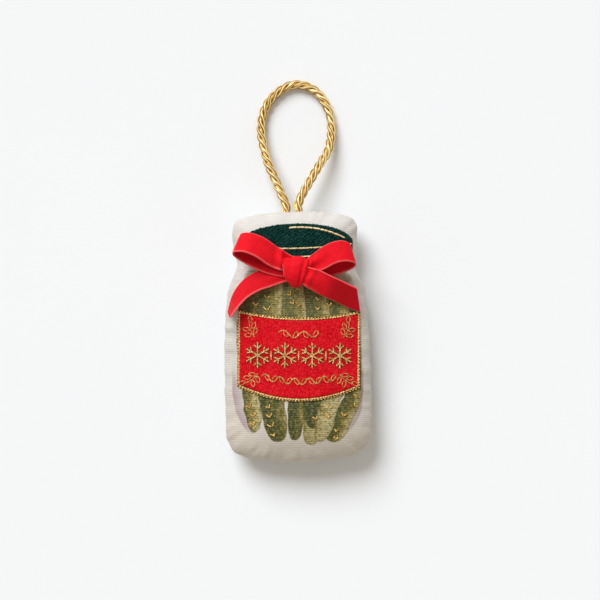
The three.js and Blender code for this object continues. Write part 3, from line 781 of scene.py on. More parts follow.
def fitted(places, edge, cut, middle, outs, shares, rim):
    """The filled cloth drawn out or in to the finished outline, most at its corners."""
    nearest = nearest_on(cut, middle, outs)
    flat_count = len(middle)
    far = np.linalg.norm(places[:flat_count, :2] - middle, axis=1)
    reached = np.array([far[(nearest == k) & (shares > 0.8)].max() for k in range(rim)])
    stretch = eased(np.clip(ring_reach(edge, middle[:rim], outs[:rim]) / reached, 0.95, 1.06), 6)
    share_of = smooth(shares, 0.45, 0.9) * (stretch[nearest] - 1)
    drawn = places.copy()
    back = np.arange(rim, flat_count)
    drawn[:flat_count, :2] += (places[:flat_count, :2] - middle) * share_of[:, None]
    drawn[flat_count:, :2] += (places[flat_count:, :2] - middle[back]) * share_of[back][:, None]
    return drawn


def stuffed_jar():
    edge = eased(evenly_round(finished_outline(), CUT_POINTS), 3)
    way = np.roll(edge, -1, 0) - np.roll(edge, 1, 0)
    out = np.stack([way[:, 1], -way[:, 0]], 1) / np.linalg.norm(way, axis=1)[:, None]
    u = np.linspace(0, 1, CUT_POINTS)

    def arc(reach, height):
        return along_of(np.stack([reach * u, height * swell(u)], 1))

    allowance = arc(HALF_BODY, BULGE_CUT)[-1] - HALF_BODY
    cut = evenly_round(edge + out * allowance, CUT_POINTS)
    cut = evenly_round(cut, round(along_of(closed(cut))[-1] / (1.5 * CUT_STEP)))
    flat, faces = triangles_in(cut, CUT_STEP)
    rim = len(cut)

    middle = np.stack([np.zeros(len(flat)), np.clip(flat[:, 1], SPINE_BOTTOM, SPINE_TOP)], 1)
    outs = flat - middle
    far = np.linalg.norm(outs, axis=1)
    outs = np.where(far[:, None] > 1e-7, outs / np.maximum(far, 1e-9)[:, None], (1.0, 0.0))
    share = np.clip(far / ring_reach(cut, middle, outs), 0, 1)
    reach = ring_reach(edge, middle, outs)
    bulge = between(BULGE_FOOT, BULGE_NECK, smooth(middle[:, 1], SPINE_BOTTOM, SPINE_TOP))
    shares = np.array([np.interp(s, arc(r, h) / arc(r, h)[-1], u) for s, r, h in zip(share, reach, bulge)])
    shares[:rim] = 1

    def placed(ease):
        longer = 1 + ease * np.clip((shares - 0.55) / 0.45, 0, 1) ** 1.5
        xy = middle + outs * (shares * reach * longer)[:, None]
        front = np.column_stack([xy, swell(shares) * bulge])
        back = np.column_stack([xy, -np.minimum(swell(shares) * BULGE_BACK, SEAM_Z)])
        front[:rim, 2] = 0
        return np.vstack([front, back[rim:]]) * CLOTH_SCALE

    behind = np.concatenate([np.arange(rim), len(flat) + np.arange(len(flat) - rim)])
    both = np.vstack([faces, behind[faces][:, ::-1]])
    jar = mesh_piece("stuffed_jar", placed(0), both.tolist(), np.repeat([0, 1], len(faces)).tolist())
    corners = np.vstack([flat, flat[rim:]])[both.ravel()]
    jar.data.uv_layers.new(name="UVMap").data.foreach_set("uv", corners.ravel())

    jar.shape_key_add(name="finished")
    cut_key = jar.shape_key_add(name="cut")
    cut_key.data.foreach_set("co", placed(CUT_EASE).ravel())
    filling = jar.modifiers.new("filling", "CLOTH")
    cloth = filling.settings
    cloth.rest_shape_key = cut_key
    cloth.quality = 6
    cloth.mass = 0.3
    cloth.air_damping = 2
    cloth.tension_stiffness = cloth.compression_stiffness = 40
    cloth.shear_stiffness = 20
    cloth.bending_stiffness = 2
    cloth.use_pressure = cloth.use_pressure_volume = True
    cloth.target_volume = FILLED_TO * CLOTH_SCALE**3
    cloth.pressure_factor = 200
    cloth.effector_weights.gravity = 0
    filling.point_cache.frame_start = 1
    filling.point_cache.frame_end = CLOTH_FRAMES
    for moment in range(1, CLOTH_FRAMES + 1):
        bpy.context.scene.frame_set(moment)
    filled = jar.evaluated_get(bpy.context.evaluated_depsgraph_get()).to_mesh()
    places = np.empty(len(filled.vertices) * 3)
    filled.vertices.foreach_get("co", places)
    places = places.reshape(-1, 3) / CLOTH_SCALE
    jar.modifiers.clear()
    jar.shape_key_clear()
    bpy.context.scene.frame_set(1)

    places += wrinkled(flat, cut, middle, outs, shares, rim)
    places[:, 0] *= HALF_BODY / np.abs(places[:, 0]).max()
    places[:, 1] *= TOP_Y / np.abs(places[:, 1]).max()
    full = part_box("front_panel")[1].z - SEAM_Z
    places[:, 2] *= np.where(places[:, 2] > 0, full / places[:, 2].max(), 1)
    places = fitted(places, edge, cut, middle, outs, shares, rim)
    pulled = places[:rim, :2] - middle[:rim]
    places[:rim, :2] -= pulled / np.linalg.norm(pulled, axis=1)[:, None] * SEAM_PULL
    places[:, 2] = np.maximum(places[:, 2], -SEAM_Z + 0.05 * MM)
    places[:, 2] += SEAM_Z
    jar.data.vertices.foreach_set("co", places.ravel())
    jar.data.update()
    applied(jar, "SUBSURF", levels=1, render_levels=1)
    on_jar(jar, (cotton("printed cotton", True), cotton("plain cotton", False)), "cotton_cloth",
           "front_panel", "back_panel", "fibre_filling")
    return jar


jar = stuffed_jar()


# The jar's front as a table of heights, for the stitching to follow

class Front:
    def __init__(self, thing, low, high, step):
        self.low, self.step = np.array(low), step
        columns, rows = (round((b - a) / step) + 1 for a, b in zip(low, high))
        skin = tree_of(thing)
        down = Vector((0, 0, -1))
        table = np.zeros((rows, columns))
        for j in range(rows):
            for i in range(columns):
                hit = skin.ray_cast(Vector((low[0] + i * step, low[1] + j * step, 0.2)), down)[0]
                table[j, i] = hit.z if hit else SEAM_Z
        around = np.pad(table, 1, mode="edge")
        beside = around[:-2, 1:-1] + around[2:, 1:-1] + around[1:-1, :-2] + around[1:-1, 2:]
        self.table = (beside + 4 * table) / 8

    def heights(self, xy):
        rows, columns = self.table.shape
        place = (np.asarray(xy)[..., :2] - self.low) / self.step
        x = np.clip(place[..., 0], 0, columns - 1.001)
        y = np.clip(place[..., 1], 0, rows - 1.001)
        i, j = x.astype(int), y.astype(int)
        x, y = x - i, y - j
        below, above = (self.table[row, i] * (1 - x) + self.table[row, i + 1] * x for row in (j, j + 1))
        return below * (1 - y) + above * y

    def outward(self, xy):
        xy = np.asarray(xy)[..., :2]
        slope = []
        for side in ((1, 0), (0, 1)):
            near = np.array(side) * self.step
            slope.append((self.heights(xy + near) - self.heights(xy - near)) / (2 * self.step))
        out = np.stack([-slope[0], -slope[1], np.ones_like(slope[0])], -1)
        return out / np.linalg.norm(out, axis=-1, keepdims=True)

    def laid(self, xy, lift):
        """Points that lie lift above the cloth, and the way out of the cloth at each."""
        xy = np.asarray(xy)[..., :2]
        out = self.outward(xy)
        ground = np.concatenate([xy, self.heights(xy)[..., None]], -1)
        return ground + out * np.broadcast_to(np.asarray(lift, float), xy.shape[:-1])[..., None], out


FRONT_LOW, FRONT_HIGH = (-33 * MM, -52 * MM), (33 * MM, 56 * MM)
FRONT_STEP = 0.6 * MM
front = Front(jar, FRONT_LOW, FRONT_HIGH, FRONT_STEP)


# Thread

def thread_finish(name, deep, middle, bright, roughness, metal=0.0, shine=0.3, run=None):
    """Thread, flecked light and dark in its own uneven tone; on the gold threads the flecks also stand as
    painted glints and painted shade. Where run is given, its flecks lie along that turn.
    """
    finish = Finish(name)
    if run is None:
        hair = finish.noise(2400.0, 3.0, 0.65)
    else:
        along_run = finish.scaled(finish.place, (520.0, 2300.0, 520.0), (0, 0, -run))
        hair = finish.noise(1.0, 3.0, 0.65, at=along_run)
    fleck = finish.noise(1050.0, 2.0, 0.6)
    patch = finish.noise(130.0, 3.0, 0.6)
    shade = finish.plus(finish.times(hair, 0.48), finish.times(patch, 0.12))
    shade = finish.plus(shade, finish.times(fleck, 0.4))
    colour = finish.ramp(shade, [(0.39, deep), (0.5, middle), (0.61, bright)])
    normal = finish.bump(hair, 0.06 * MM, 0.7)
    return finish.done(colour, roughness, normal,
                       Metallic=metal, Specular_IOR_Level=shine, Specular_Tint=(*bright, 1))


LID_TURN = math.radians(38)
LABEL_TURN = math.radians(90) + LABEL_TILT
RED_THREAD = thread_finish(
    "red thread", (0.54, 0.004, 0.012), (0.74, 0.010, 0.021), (0.86, 0.035, 0.042), 0.55,
    shine=0.2, run=LABEL_TURN)
GREEN_THREAD = thread_finish(
    "green thread", (0.001, 0.009, 0.008), (0.005, 0.034, 0.029), (0.022, 0.086, 0.07), 0.5, run=LID_TURN)
# The gold threads: their bright flecks are partly painted glints and their dark flecks partly painted shade
GOLD_THREAD = thread_finish(
    "gold thread", (0.26, 0.12, 0.016), (0.92, 0.55, 0.18), (1.0, 0.90, 0.54), 0.32, 0.35, 0.6)
OLD_GOLD = thread_finish(
    "old gold thread", (0.12, 0.05, 0.006), (0.62, 0.38, 0.08), (1.0, 0.82, 0.40), 0.34, 0.4, 0.5)
PALE_GOLD = thread_finish(
    "pale gold thread", (0.34, 0.22, 0.07), (0.84, 0.66, 0.34), (1.0, 0.94, 0.70), 0.34, 0.3, 0.5)
DULL_GOLD = thread_finish(
    "dull gold thread", (0.20, 0.05, 0.010), (0.60, 0.27, 0.07), (0.95, 0.66, 0.30), 0.4, 0.3, 0.4)
# A dark gold thread, used under the gold stitches also as painted shade round them
GOLD_SHADE = thread_finish(
    "dark gold thread", (0.03, 0.018, 0.003), (0.13, 0.078, 0.016), (0.34, 0.23, 0.07), 0.6, shine=0.1)
PATCH_RED = thread_finish(
    "red ground", (0.22, 0.001, 0.003), (0.32, 0.003, 0.007), (0.42, 0.006, 0.01), 0.8, shine=0.1)
PATCH_GREEN = thread_finish(
    "green ground", (0.001, 0.007, 0.006), (0.002, 0.014, 0.012), (0.004, 0.025, 0.02), 0.8, shine=0.1)


def thread(line, outs, radius, sides=5):
    """A round thread along a line, as rings."""
    level, up = sideways(line, outs)
    turn = ring_angles(sides)[None, :, None]
    radius = np.broadcast_to(np.asarray(radius, float), len(line))[:, None, None]
    return line[:, None] + radius * (np.cos(turn) * level[:, None] + np.sin(turn) * up[:, None])


def sewn(name, runs, material, slot, *nodes):
    """Threads on the jar. Runs are rings, or pairs of rings and the number of their finish in material."""
    paired = isinstance(runs[0], tuple)
    made = tubes(name, [r[0] for r in runs] if paired else runs, [r[1] for r in runs] if paired else None)
    on_jar(made, material if isinstance(material, tuple) else (material,), slot, *nodes)


def rows_across(ring, turn, pitch):
    """Stretches of parallel lines inside a ring, each from its start to its end."""
    c, s = math.cos(turn), math.sin(turn)
    here = ring @ np.array([[c, -s], [s, c]])
    after = np.roll(here, -1, 0)
    for level in np.arange(here[:, 1].min() + pitch / 2, here[:, 1].max(), pitch):
        crossed = (here[:, 1] > level) != (after[:, 1] > level)
        a, b = here[crossed], after[crossed]
        xs = np.sort(a[:, 0] + (b[:, 0] - a[:, 0]) * (level - a[:, 1]) / (b[:, 1] - a[:, 1]))
        for x0, x1 in zip(xs[::2], xs[1::2]):
            yield np.array([[x0, level], [x1, level]]) @ np.array([[c, s], [-s, c]])


# How deep and how near its end a fill stitch dives, how far the next row shifts, and how a row sways
DIVE, DIVE_REACH = 0.13 * MM, 0.34 * MM
ROW_SHIFT = 0.37
SWAY, SWAY_LENGTH = 0.05, 3.1 * MM
ROW_END = 0.6 * MM
ROW_STEP = 0.62 * MM


def filled_stitches(ring, turn, pitch, radius, lift, stitch, ragged, ribbed=0.0):
    """Rows of stitches over a shape, high and low by turns, that go down through the cloth at each end."""
    runs = []
    for row, (start, end) in enumerate(rows_across(ring, turn, pitch)):
        way = end - start
        length = np.linalg.norm(way)
        if length < 2.5 * pitch:
            continue
        way /= length
        start = start - way * random.uniform(0, ragged)
        end = end + way * random.uniform(0, ragged)
        length = np.linalg.norm(end - start)
        at = np.linspace(0, length, max(4, round(length / ROW_STEP)) + 1)
        phase = (at / stitch + row * ROW_SHIFT) % 1
        dip = np.exp(-((np.minimum(phase, 1 - phase) * stitch / DIVE_REACH) ** 2))
        ends = np.minimum(1, np.minimum(at, length - at) / ROW_END) ** 0.5
        xy = start + at[:, None] * way
        xy += np.array([-way[1], way[0]]) * (SWAY * pitch * np.sin(at / SWAY_LENGTH + row * 2.4))[:, None]
        height = lift * ends - DIVE * dip + random.uniform(-0.03, 0.03) * MM
        height += ribbed * (0.5 - row % 2) * ends
        line, outs = front.laid(xy, height)
        runs.append(thread(line, outs, radius * (1 - 0.12 * dip)))
    return runs


GROUND_STEP = 1.3 * MM
GROUND_DEPTH = 0.25 * MM


def ground_patch(name, ring, lift, material, slot, node):
    """A closed thin pad under a filled shape."""
    points, faces = triangles_in(ring, GROUND_STEP)
    top = front.laid(points, lift)[0]
    base = front.laid(points, -GROUND_DEPTH)[0]
    rim, count = len(ring), len(points)
    walls = [(i, count + i, count + (i + 1) % rim, (i + 1) % rim) for i in range(rim)]
    shell = faces.tolist() + (faces[:, ::-1] + count).tolist() + walls
    on_jar(mesh_piece(name, np.vstack([top, base]), shell), (material,), slot, node)


def satin_column(line, half, lift, pitch, dome, radius, slant=0.0):
    """A thread that goes from side to side of a line, high in the middle, so that it makes a raised band."""
    line = np.asarray(line, float)
    gone = along_of(line)
    crossings = max(4, round(gone[-1] / pitch))
    t = np.linspace(0, crossings, 4 * crossings + 1)
    at = np.clip(t / crossings, 0, 1)
    swing = 1 - 2 * np.abs((t % 2) - 1)
    way = places_at(np.gradient(line, axis=0), gone, at * gone[-1])
    way /= np.linalg.norm(way, axis=1)[:, None]
    place = places_at(line, gone, at * gone[-1])
    width = half(at) if callable(half) else np.full(len(at), half)
    across = np.stack([-way[:, 1], way[:, 0]], 1) + slant * way
    height = lift + dome * (1 - swing**2) * np.minimum(1, width / (0.3 * MM))
    spots, outs = front.laid(place + across * (swing * width)[:, None], height)
    return thread(spots, outs, radius, 4)


def plied(line, outs, radius, lay, turn=0.0):
    """Two threads twisted round each other."""
    level, up = sideways(line, outs)
    phase = (2 * math.pi * along_of(line) / lay + turn)[:, None]
    runs = []
    for ply in (0, math.pi):
        middle = line + radius * 0.95 * (np.cos(phase + ply) * level + np.sin(phase + ply) * up)
        runs.append(thread(middle, outs, radius, 5))
    return runs


# Lid: green filled stitching with thin gold lines, on the frame's places

LID_X = 0.5 * MM
LID_HALF = 26.3 * MM
LID_TOP = TOP_Y - 6.4 * MM
LID_LOW = LID_TOP - 16.8 * MM
LID_CORNER = 1.6 * MM


def bezier(a, b, c, d, count=24):
    t = np.linspace(0, 1, count, endpoint=False)[:, None]
    a, b, c, d = (np.array(p, float) for p in (a, b, c, d))
    return a * (1 - t) ** 3 + 3 * b * t * (1 - t) ** 2 + 3 * c * t**2 * (1 - t) + d * t**3


def quadratic(a, b, c, count=24):
    a, b, c = (np.array(p, float) for p in (a, b, c))
    return bezier(a, a + (b - a) * 2 / 3, c + (b - c) * 2 / 3, c, count)


def lid_ring():
    left, right, side = LID_X - LID_HALF, LID_X + LID_HALF, LID_TOP - 8.2 * MM
    corner = LID_LOW + LID_CORNER
    return np.vstack([
        bezier((left, side), (LID_X - 0.86 * LID_HALF, LID_TOP + 1.4 * MM),
               (LID_X + 0.74 * LID_HALF, LID_TOP + 2.8 * MM), (right, side), 60),
        quadratic((right, side), (right, corner), (right - LID_CORNER / 2, corner), 8),
        quadratic((right - LID_CORNER / 2, corner), (LID_X, LID_LOW - LID_CORNER),
                  (left + LID_CORNER / 2, corner), 50),
        quadratic((left + LID_CORNER / 2, corner), (left, corner), (left, side), 8),
    ])[::-1]


def arch(x, y, half, rise, start=-1.0, end=1.0):
    t = np.linspace(start, end, 60)
    return np.stack([x + t * half, y + rise * t * t], 1)


def backstitches(line, length, space, radius, lift):
    """Short plied stitches one after another along a line."""
    line, gone = evenly(line, 0.25 * MM)
    runs = []
    start = 0.0
    while start < gone[-1] - length / 3:
        end = min(gone[-1], start + length * random.uniform(0.85, 1.15))
        at = np.linspace(start, end, max(5, round((end - start) / (0.3 * MM))))
        xy = places_at(line, gone, at)
        t = np.linspace(-1, 1, len(at))
        spots, outs = front.laid(xy, lift - 0.28 * MM * np.abs(t) ** 5)
        runs += plied(spots, outs, radius, 1.5 * MM, start)
        start = end + space
    return runs


lid = lid_ring()
ground_patch("lid_ground", evenly_round(lid, 110), 0.42 * MM, PATCH_GREEN, "green_thread", "lid_embroidery")
LID_STITCHES = filled_stitches(
    lid, LID_TURN, pitch=0.66 * MM, radius=0.37 * MM, lift=0.66 * MM, stitch=4.6 * MM,
    ragged=0.35 * MM, ribbed=0.2 * MM,
)
sewn("lid_fill_stitches", LID_STITCHES, GREEN_THREAD, "green_thread", "lid_embroidery")
LID_LINE = LID_HALF - 1 * MM
GOLD_LIFT = 1.2 * MM
for name, thick, line in (
    ("lid_highlight", 0.28 * MM, arch(LID_X + 1 * MM, LID_TOP - 2.5 * MM, LID_LINE, -6.9 * MM, -0.16, 0.84)),
    ("lid_rim", 0.24 * MM, arch(LID_X, LID_TOP - 12.2 * MM, LID_LINE, 2.0 * MM)),
    ("lid_band", 0.24 * MM, arch(LID_X, LID_TOP - 15.95 * MM, LID_LINE - 1 * MM, 1.4 * MM)),
):
    stitches = backstitches(line, length=3.1 * MM, space=0.2 * MM, radius=thick, lift=GOLD_LIFT)
    sewn(f"{name}_line", stitches, PALE_GOLD, "gold_thread", f"{name}_stitch")


# Label: red filled stitching, a gold border and gold sprigs, stars and vines

LABEL_X, LABEL_Y = 0.7 * MM, -6.3 * MM
LABEL_HALF = HALF_BODY - 8.0 * MM
LABEL_TOP, LABEL_LOW = LABEL_Y + 17.5 * MM, LABEL_Y - 15.9 * MM


def turned(points):
    """Points of the label as it sits, a little turned on the jar."""
    c, s = math.cos(LABEL_TILT), math.sin(LABEL_TILT)
    away = np.asarray(points, float) - (LABEL_X, LABEL_Y)
    return away @ np.array([[c, s], [-s, c]]) + (LABEL_X, LABEL_Y)


def label_ring(margin):
    left, right = LABEL_X - LABEL_HALF - margin, LABEL_X + LABEL_HALF + margin
    top, low = LABEL_TOP + margin, LABEL_LOW - margin
    sides = np.linspace(0, 1, 30, endpoint=False)[:, None]
    return turned(np.vstack([
        between(np.array([left, top]), np.array([left, low]), sides),
        quadratic((left, low), (LABEL_X, low - 12.4 * MM), (right, low), 60),
        between(np.array([right, low]), np.array([right, top]), sides),
        quadratic((right, top), (LABEL_X, top - 6.4 * MM), (left, top), 60),
    ]))


ground_patch("label_ground", evenly_round(label_ring(0.3 * MM), 150), 0.45 * MM, PATCH_RED, "red_thread",
             "label_embroidery")
LABEL_STITCHES = filled_stitches(
    label_ring(0.1 * MM), LABEL_TURN, pitch=0.5 * MM, radius=0.28 * MM, lift=0.64 * MM, stitch=4.2 * MM,
    ragged=0.1 * MM,
)
sewn("label_fill_stitches", LABEL_STITCHES, RED_THREAD, "red_thread", "label_embroidery")

# Dark twisted threads of the label's border: margin round the label, lay, radius and lift
BORDER_THREADS = ((0.35 * MM, 1.5 * MM, 0.26 * MM, 0.55 * MM), (1.0 * MM, 1.4 * MM, 0.23 * MM, 0.4 * MM))


def border():
    """Bright short stitches over one dark twisted thread, and fainter ones over a second thread round it."""
    runs = []
    for margin, lay, radius, lift in BORDER_THREADS:
        ring = label_ring(margin)
        spots, outs = front.laid(evenly(np.vstack([ring, ring[:3]]), 0.24 * MM)[0], lift)
        runs += [(rings, 1) for rings in plied(spots, outs, radius, lay, 7.0 * margin / MM)]
    bright = backstitches(closed(label_ring(0.4 * MM)),
                          length=0.95 * MM, space=0.3 * MM, radius=0.22 * MM, lift=0.9 * MM)
    faint = backstitches(closed(label_ring(1.05 * MM)),
                         length=0.8 * MM, space=0.7 * MM, radius=0.17 * MM, lift=0.68 * MM)
    return runs + [(rings, 0) for rings in bright + faint]


sewn("label_border", border(), (GOLD_THREAD, GOLD_SHADE), "gold_thread", "label_border_braid")


def gilded(line, half):
    """A raised bright gold band over a wider, darker one, whose dark rim is partly painted shade round the
    raised band.
    """
    wider = (lambda t: half(t) + 0.16 * MM) if callable(half) else half + 0.16 * MM
    core = (lambda t: 0.8 * half(t)) if callable(half) else 0.8 * half
    under = satin_column(line, wider, GOLD_LIFT - 0.35 * MM, pitch=0.4 * MM, dome=0.1 * MM, radius=0.18 * MM)
    over = satin_column(line, core, GOLD_LIFT, pitch=0.42 * MM, dome=0.3 * MM, radius=0.16 * MM, slant=0.5)
    return [(under, 1), (over, 0)]


def fine_line(points, radius=0.12 * MM):
    """A thin twisted line of duller gold on the label."""
    line = evenly(turned(points), 0.25 * MM)[0]
    spots, outs = front.laid(line, GOLD_LIFT - 0.15 * MM)
    return [(rings, 2) for rings in plied(spots, outs, radius, 1.2 * MM)]


def column(points, half):
    return gilded(evenly(turned(points), 0.3 * MM)[0], half)


def open_leaf(x, y, length, width, turn):
    """A leaf as its outline."""
    t = np.linspace(0, 1, 14)
    belly = width / 2 * np.sin(math.pi * t) ** 0.8
    c, s = math.cos(turn), math.sin(turn)
    runs = []
    for side in (-1, 1):
        a, b = (t - 0.5) * length, side * belly
        runs += fine_line(np.stack([x + a * c - b * s, y + a * s + b * c], 1))
    return runs


SPRIG = 7.6 * MM
SPRIG_LEAF = (3.3 * MM, 1.7 * MM)
VINE_LEAF = (3.4 * MM, 1.8 * MM)
VINE_WAVE = 1.5 * MM

# Leaves of a sprig: how far along and across its stem, in shares of its length, and the angle from its stem
SPRIG_LEAVES = (
    (-0.26, 0.06, 1.15), (-0.14, -0.4, -0.8), (0.06, 0.24, 1.15), (0.2, -0.24, -0.6), (0.5, 0.36, 0.6),
)
GOLD_WORK = (GOLD_THREAD, GOLD_SHADE, DULL_GOLD)


def gold_work(name, runs):
    sewn(name, runs, GOLD_WORK, "gold_thread", f"label_{name}")


def sprig(x, y, turn, side):
    def at(along, across):
        c, s = SPRIG * math.cos(turn), SPRIG * math.sin(turn)
        return x + side * (along * c - across * s), y + along * s + across * c

    def facing(angle):
        return turn + angle if side > 0 else math.pi - turn - angle

    runs = fine_line([at(t - 0.5, 0.46 * t * t - 0.2) for t in np.linspace(0, 1, 12)])
    for along, across, angle in SPRIG_LEAVES:
        runs += open_leaf(*at(along, across), *SPRIG_LEAF, facing(angle))
    return runs


for name, side, y, turn in (
    ("top_left", -1, LABEL_TOP - 7.4 * MM, 0.8), ("top_right", 1, LABEL_TOP - 7.4 * MM, 0.8),
    ("bottom_left", -1, LABEL_LOW + 2.8 * MM, -1.1), ("bottom_right", 1, LABEL_LOW + 2.8 * MM, -1.1),
):
    x = LABEL_X + side * (LABEL_HALF - 5.2 * MM)
    gold_work(f"sprig_{name}", sprig(x, y, turn, side))

STAR = 11.6 * MM
STAR_PITCH = 12.6 * MM
STAR_Y = LABEL_Y - 2.1 * MM
STAR_ARM_HALF = 0.47 * MM
STAR_FORK_HALF = 0.34 * MM
GEM_REACH = 2 * MM


def star(x, y):
    middle = np.array([x, y])
    runs = []
    for i in range(6):
        turn = math.pi / 2 + i * math.pi / 3
        way = STAR * np.array([math.cos(turn), math.sin(turn)])
        across = np.array([-way[1], way[0]])
        runs += column([middle + 0.03 * way, middle + 0.5 * way], STAR_ARM_HALF)
        fork = middle + 0.27 * way
        for side in (-0.14, 0.14):
            runs += column([fork, middle + 0.4 * way + side * across], STAR_FORK_HALF)
    return runs


for i in range(4):
    x = LABEL_X + (i - 1.5) * STAR_PITCH
    gold_work(f"star_{i + 1}", star(x, STAR_Y))
    if i < 3:
        gem = x + STAR_PITCH / 2
        shape = column([(gem, STAR_Y - GEM_REACH), (gem, STAR_Y + GEM_REACH)],
                       lambda t: 0.08 * MM + 0.62 * MM * (1 - np.abs(2 * t - 1)))
        gold_work(f"diamond_{i + 1}", shape)


def vine(middle_x, middle_y, length, waves, rise):
    def at(t):
        bow = rise * (2 * t - 1) ** 2
        return middle_x + (t - 0.5) * length, middle_y + bow + VINE_WAVE * math.sin(2 * math.pi * waves * t)

    runs = fine_line([at(t) for t in np.linspace(0, 1, 16 * waves)], 0.16 * MM)
    for i in range(2 * waves):
        side = 1 if i % 2 else -1
        x, y = at((i + 0.5) / (2 * waves))
        runs += open_leaf(x + 0.9 * MM, y + side * VINE_WAVE, *VINE_LEAF, side)
    return runs


gold_work("vine_top", vine(LABEL_X, LABEL_TOP - 10 * MM, 18.6 * MM, 2, 1 * MM))
gold_work("vine_bottom", vine(LABEL_X, LABEL_LOW + 1.8 * MM, 2 * (LABEL_HALF - 10.2 * MM), 5, 2.2 * MM))


# Gold V stitches scattered over the printed gherkins

# Files of stitches in mm: the first one's x and y, the step down to the next, their count and their lean
STITCH_FILES = [
    (-21.9, -32.0, -4.3, 3, 0.25), (-13.6, -32.6, -4.4, 4, 0.3), (7.6, -38.4, -4.9, 1, -0.2),
    (14.8, -33.0, -4.6, 2, -0.45), (26.6, -28.4, -4.5, 2, -0.4), (21.0, -37.2, -4.0, 1, -0.3),
    (16.8, -44.4, -3.7, 2, 0.1), (-18.6, 15.2, -3.8, 1, 0.2), (-13.4, 18.6, -5.4, 2, -0.2),
    (-2.2, 20.0, -4.3, 2, 0.25), (0.8, 22.4, -4.0, 1, -0.4), (1.2, 14.6, -4.0, 1, -0.3),
    (10.4, 17.6, -4.6, 2, -0.2), (15.2, 14.4, -4.0, 1, 0.2),
]
V_HALF_ANGLE = 0.72

# The dark thread below, partly painted shade under the stitch, and the bright one over it, in mm: lift,
# radius and the number of its finish
V_THREADS = ((0.04, 0.28, 1), (0.3, 0.23, 0))


def v_stitch(foot, turn, lay_start):
    runs = []
    for side in (-1, 1):
        angle = math.pi / 2 + turn + side * V_HALF_ANGLE
        start = foot + np.array([random.uniform(-0.3, 0.3), random.uniform(-0.3, 0.3)]) * MM
        tip = start + np.array([math.cos(angle), math.sin(angle)]) * random.uniform(1.3, 2.3) * MM
        line = evenly(np.array([start, tip]), 0.25 * MM)[0]
        t = np.linspace(-1, 1, len(line))
        for lift, radius, kind in V_THREADS:
            places, outs = front.laid(line, (lift - 0.3 * np.abs(t) ** 3) * MM)
            runs += [(rings, kind) for rings in plied(places, outs, radius * MM, 1.2 * MM, lay_start)]
    return runs


def scattered_stitches():
    runs = []
    for x, y, step, count, lean in STITCH_FILES:
        for i in range(count):
            turn = lean + random.uniform(-0.35, 0.35)
            foot = np.array([x + lean * 2 * i + random.uniform(-0.5, 0.5), y + step * i]) * MM
            runs += v_stitch(foot, turn, x)
    return runs


sewn("gherkin_stitches", scattered_stitches(), (OLD_GOLD, GOLD_SHADE), "gold_thread")


# Velvet ribbon bow

RIBBON = 10 * MM
PILE = 0.45 * MM
PLY = 1.4 * MM
KNOT = Vector((0.4 * MM, 31 * MM, (KNOT_LOW.z + KNOT_HIGH.z) / 2))

# Where along a ribbon its painted gathers fade, and the tints of the painted shade along a tail, of the
# painted shade in its gathers and of the painted highlight on their crests
GATHERED_FROM, GATHERED_TO = 4 * MM, 15 * MM
PRESSED_TINT = (0.40, 0.003, 0.008, 1)
GATHER_TINT = (0.42, 0.002, 0.008, 1)
CREST_TINT = (0.97, 0.085, 0.09, 1)
VELVET_SHEEN, VELVET_GLOSS = (1.0, 0.2, 0.18, 1), (1.0, 0.4, 0.4, 1)
EDGE_BLUR = 0.02


def velvet(name, face, deep, edge, roughness, sheen, upper=0.95, lower=0.85, laid=None, gathered=0.5):
    """Velvet with its woven edges. Where laid gives a start, a length and a share, the velvet is painted
    darker along the ribbon, as painted shade.
    """
    finish = Finish(name)
    u, v = finish.uv()[:2]
    nap = finish.noise(1.0, 4.0, 0.7, stretch=(1400.0, 1400.0, 1400.0))
    brushed = finish.noise(150.0, 4.0, 0.65)
    crushed = finish.noise(420.0, 2.0, 0.6)
    ruffled = finish.plus(finish.times(brushed, 0.7), finish.times(crushed, 0.3))
    cloth = finish.mix(finish.span(ruffled, 0.34, 0.74), face, deep)
    if laid is not None:
        # Painted shade along the ribbon from the start given in laid
        cloth = finish.mix(finish.span(u, laid[0], laid[0] + laid[1], 0.0, laid[2]), cloth, PRESSED_TINT)
    # Painted shade in the gathers near the knot and painted highlight on their crests
    gathers = finish.noise(1.0, 1.0, 0.5, at=finish.vector(finish.times(u, 55.0), finish.times(v, 2.2)))
    near_knot = finish.span(u, GATHERED_FROM, GATHERED_TO, gathered, 0.0)
    cloth = finish.mix(finish.times(near_knot, finish.span(gathers, 0.46, 0.66)), cloth, GATHER_TINT)
    crest = finish.times(near_knot, finish.span(gathers, 0.32, 0.46, 1.0, 0.0))
    cloth = finish.mix(crest, cloth, CREST_TINT)
    border = finish.mix(finish.times(finish.ridges(u, 0.7 * MM), 0.5), edge, face)
    out = finish.minus(finish.times(v, 2.0), 1.0)
    frayed = finish.plus(out, finish.times(finish.minus(crushed, 0.5), 0.06))
    above = finish.span(frayed, upper - EDGE_BLUR, upper + EDGE_BLUR)
    below = finish.span(frayed, -lower - EDGE_BLUR, EDGE_BLUR - lower, 1.0, 0.0)
    colour = finish.mix(finish.plus(above, below), cloth, border)
    normal = finish.bump(nap, 0.14 * MM, 0.6)
    return finish.done(colour, roughness, normal, Sheen_Weight=sheen, Sheen_Roughness=0.35,
                       Sheen_Tint=VELVET_SHEEN, Specular_IOR_Level=0.2, Specular_Tint=VELVET_GLOSS)


def knotted(x, y, plies, across, share=1.0):
    return (KNOT.x + x * RIBBON, KNOT.y + y * RIBBON, KNOT.z + plies * PLY), across, share


def raised(x, y, z, across, share=1.0):
    return tuple(KNOT + Vector((x, y, z)) * RIBBON), across, share


def draped(x, y, lift, across, share=1.0):
    x, y = KNOT.x + x * RIBBON, KNOT.y + y * RIBBON
    return (x, y, panel_top(x, y) + lift * RIBBON), across, share


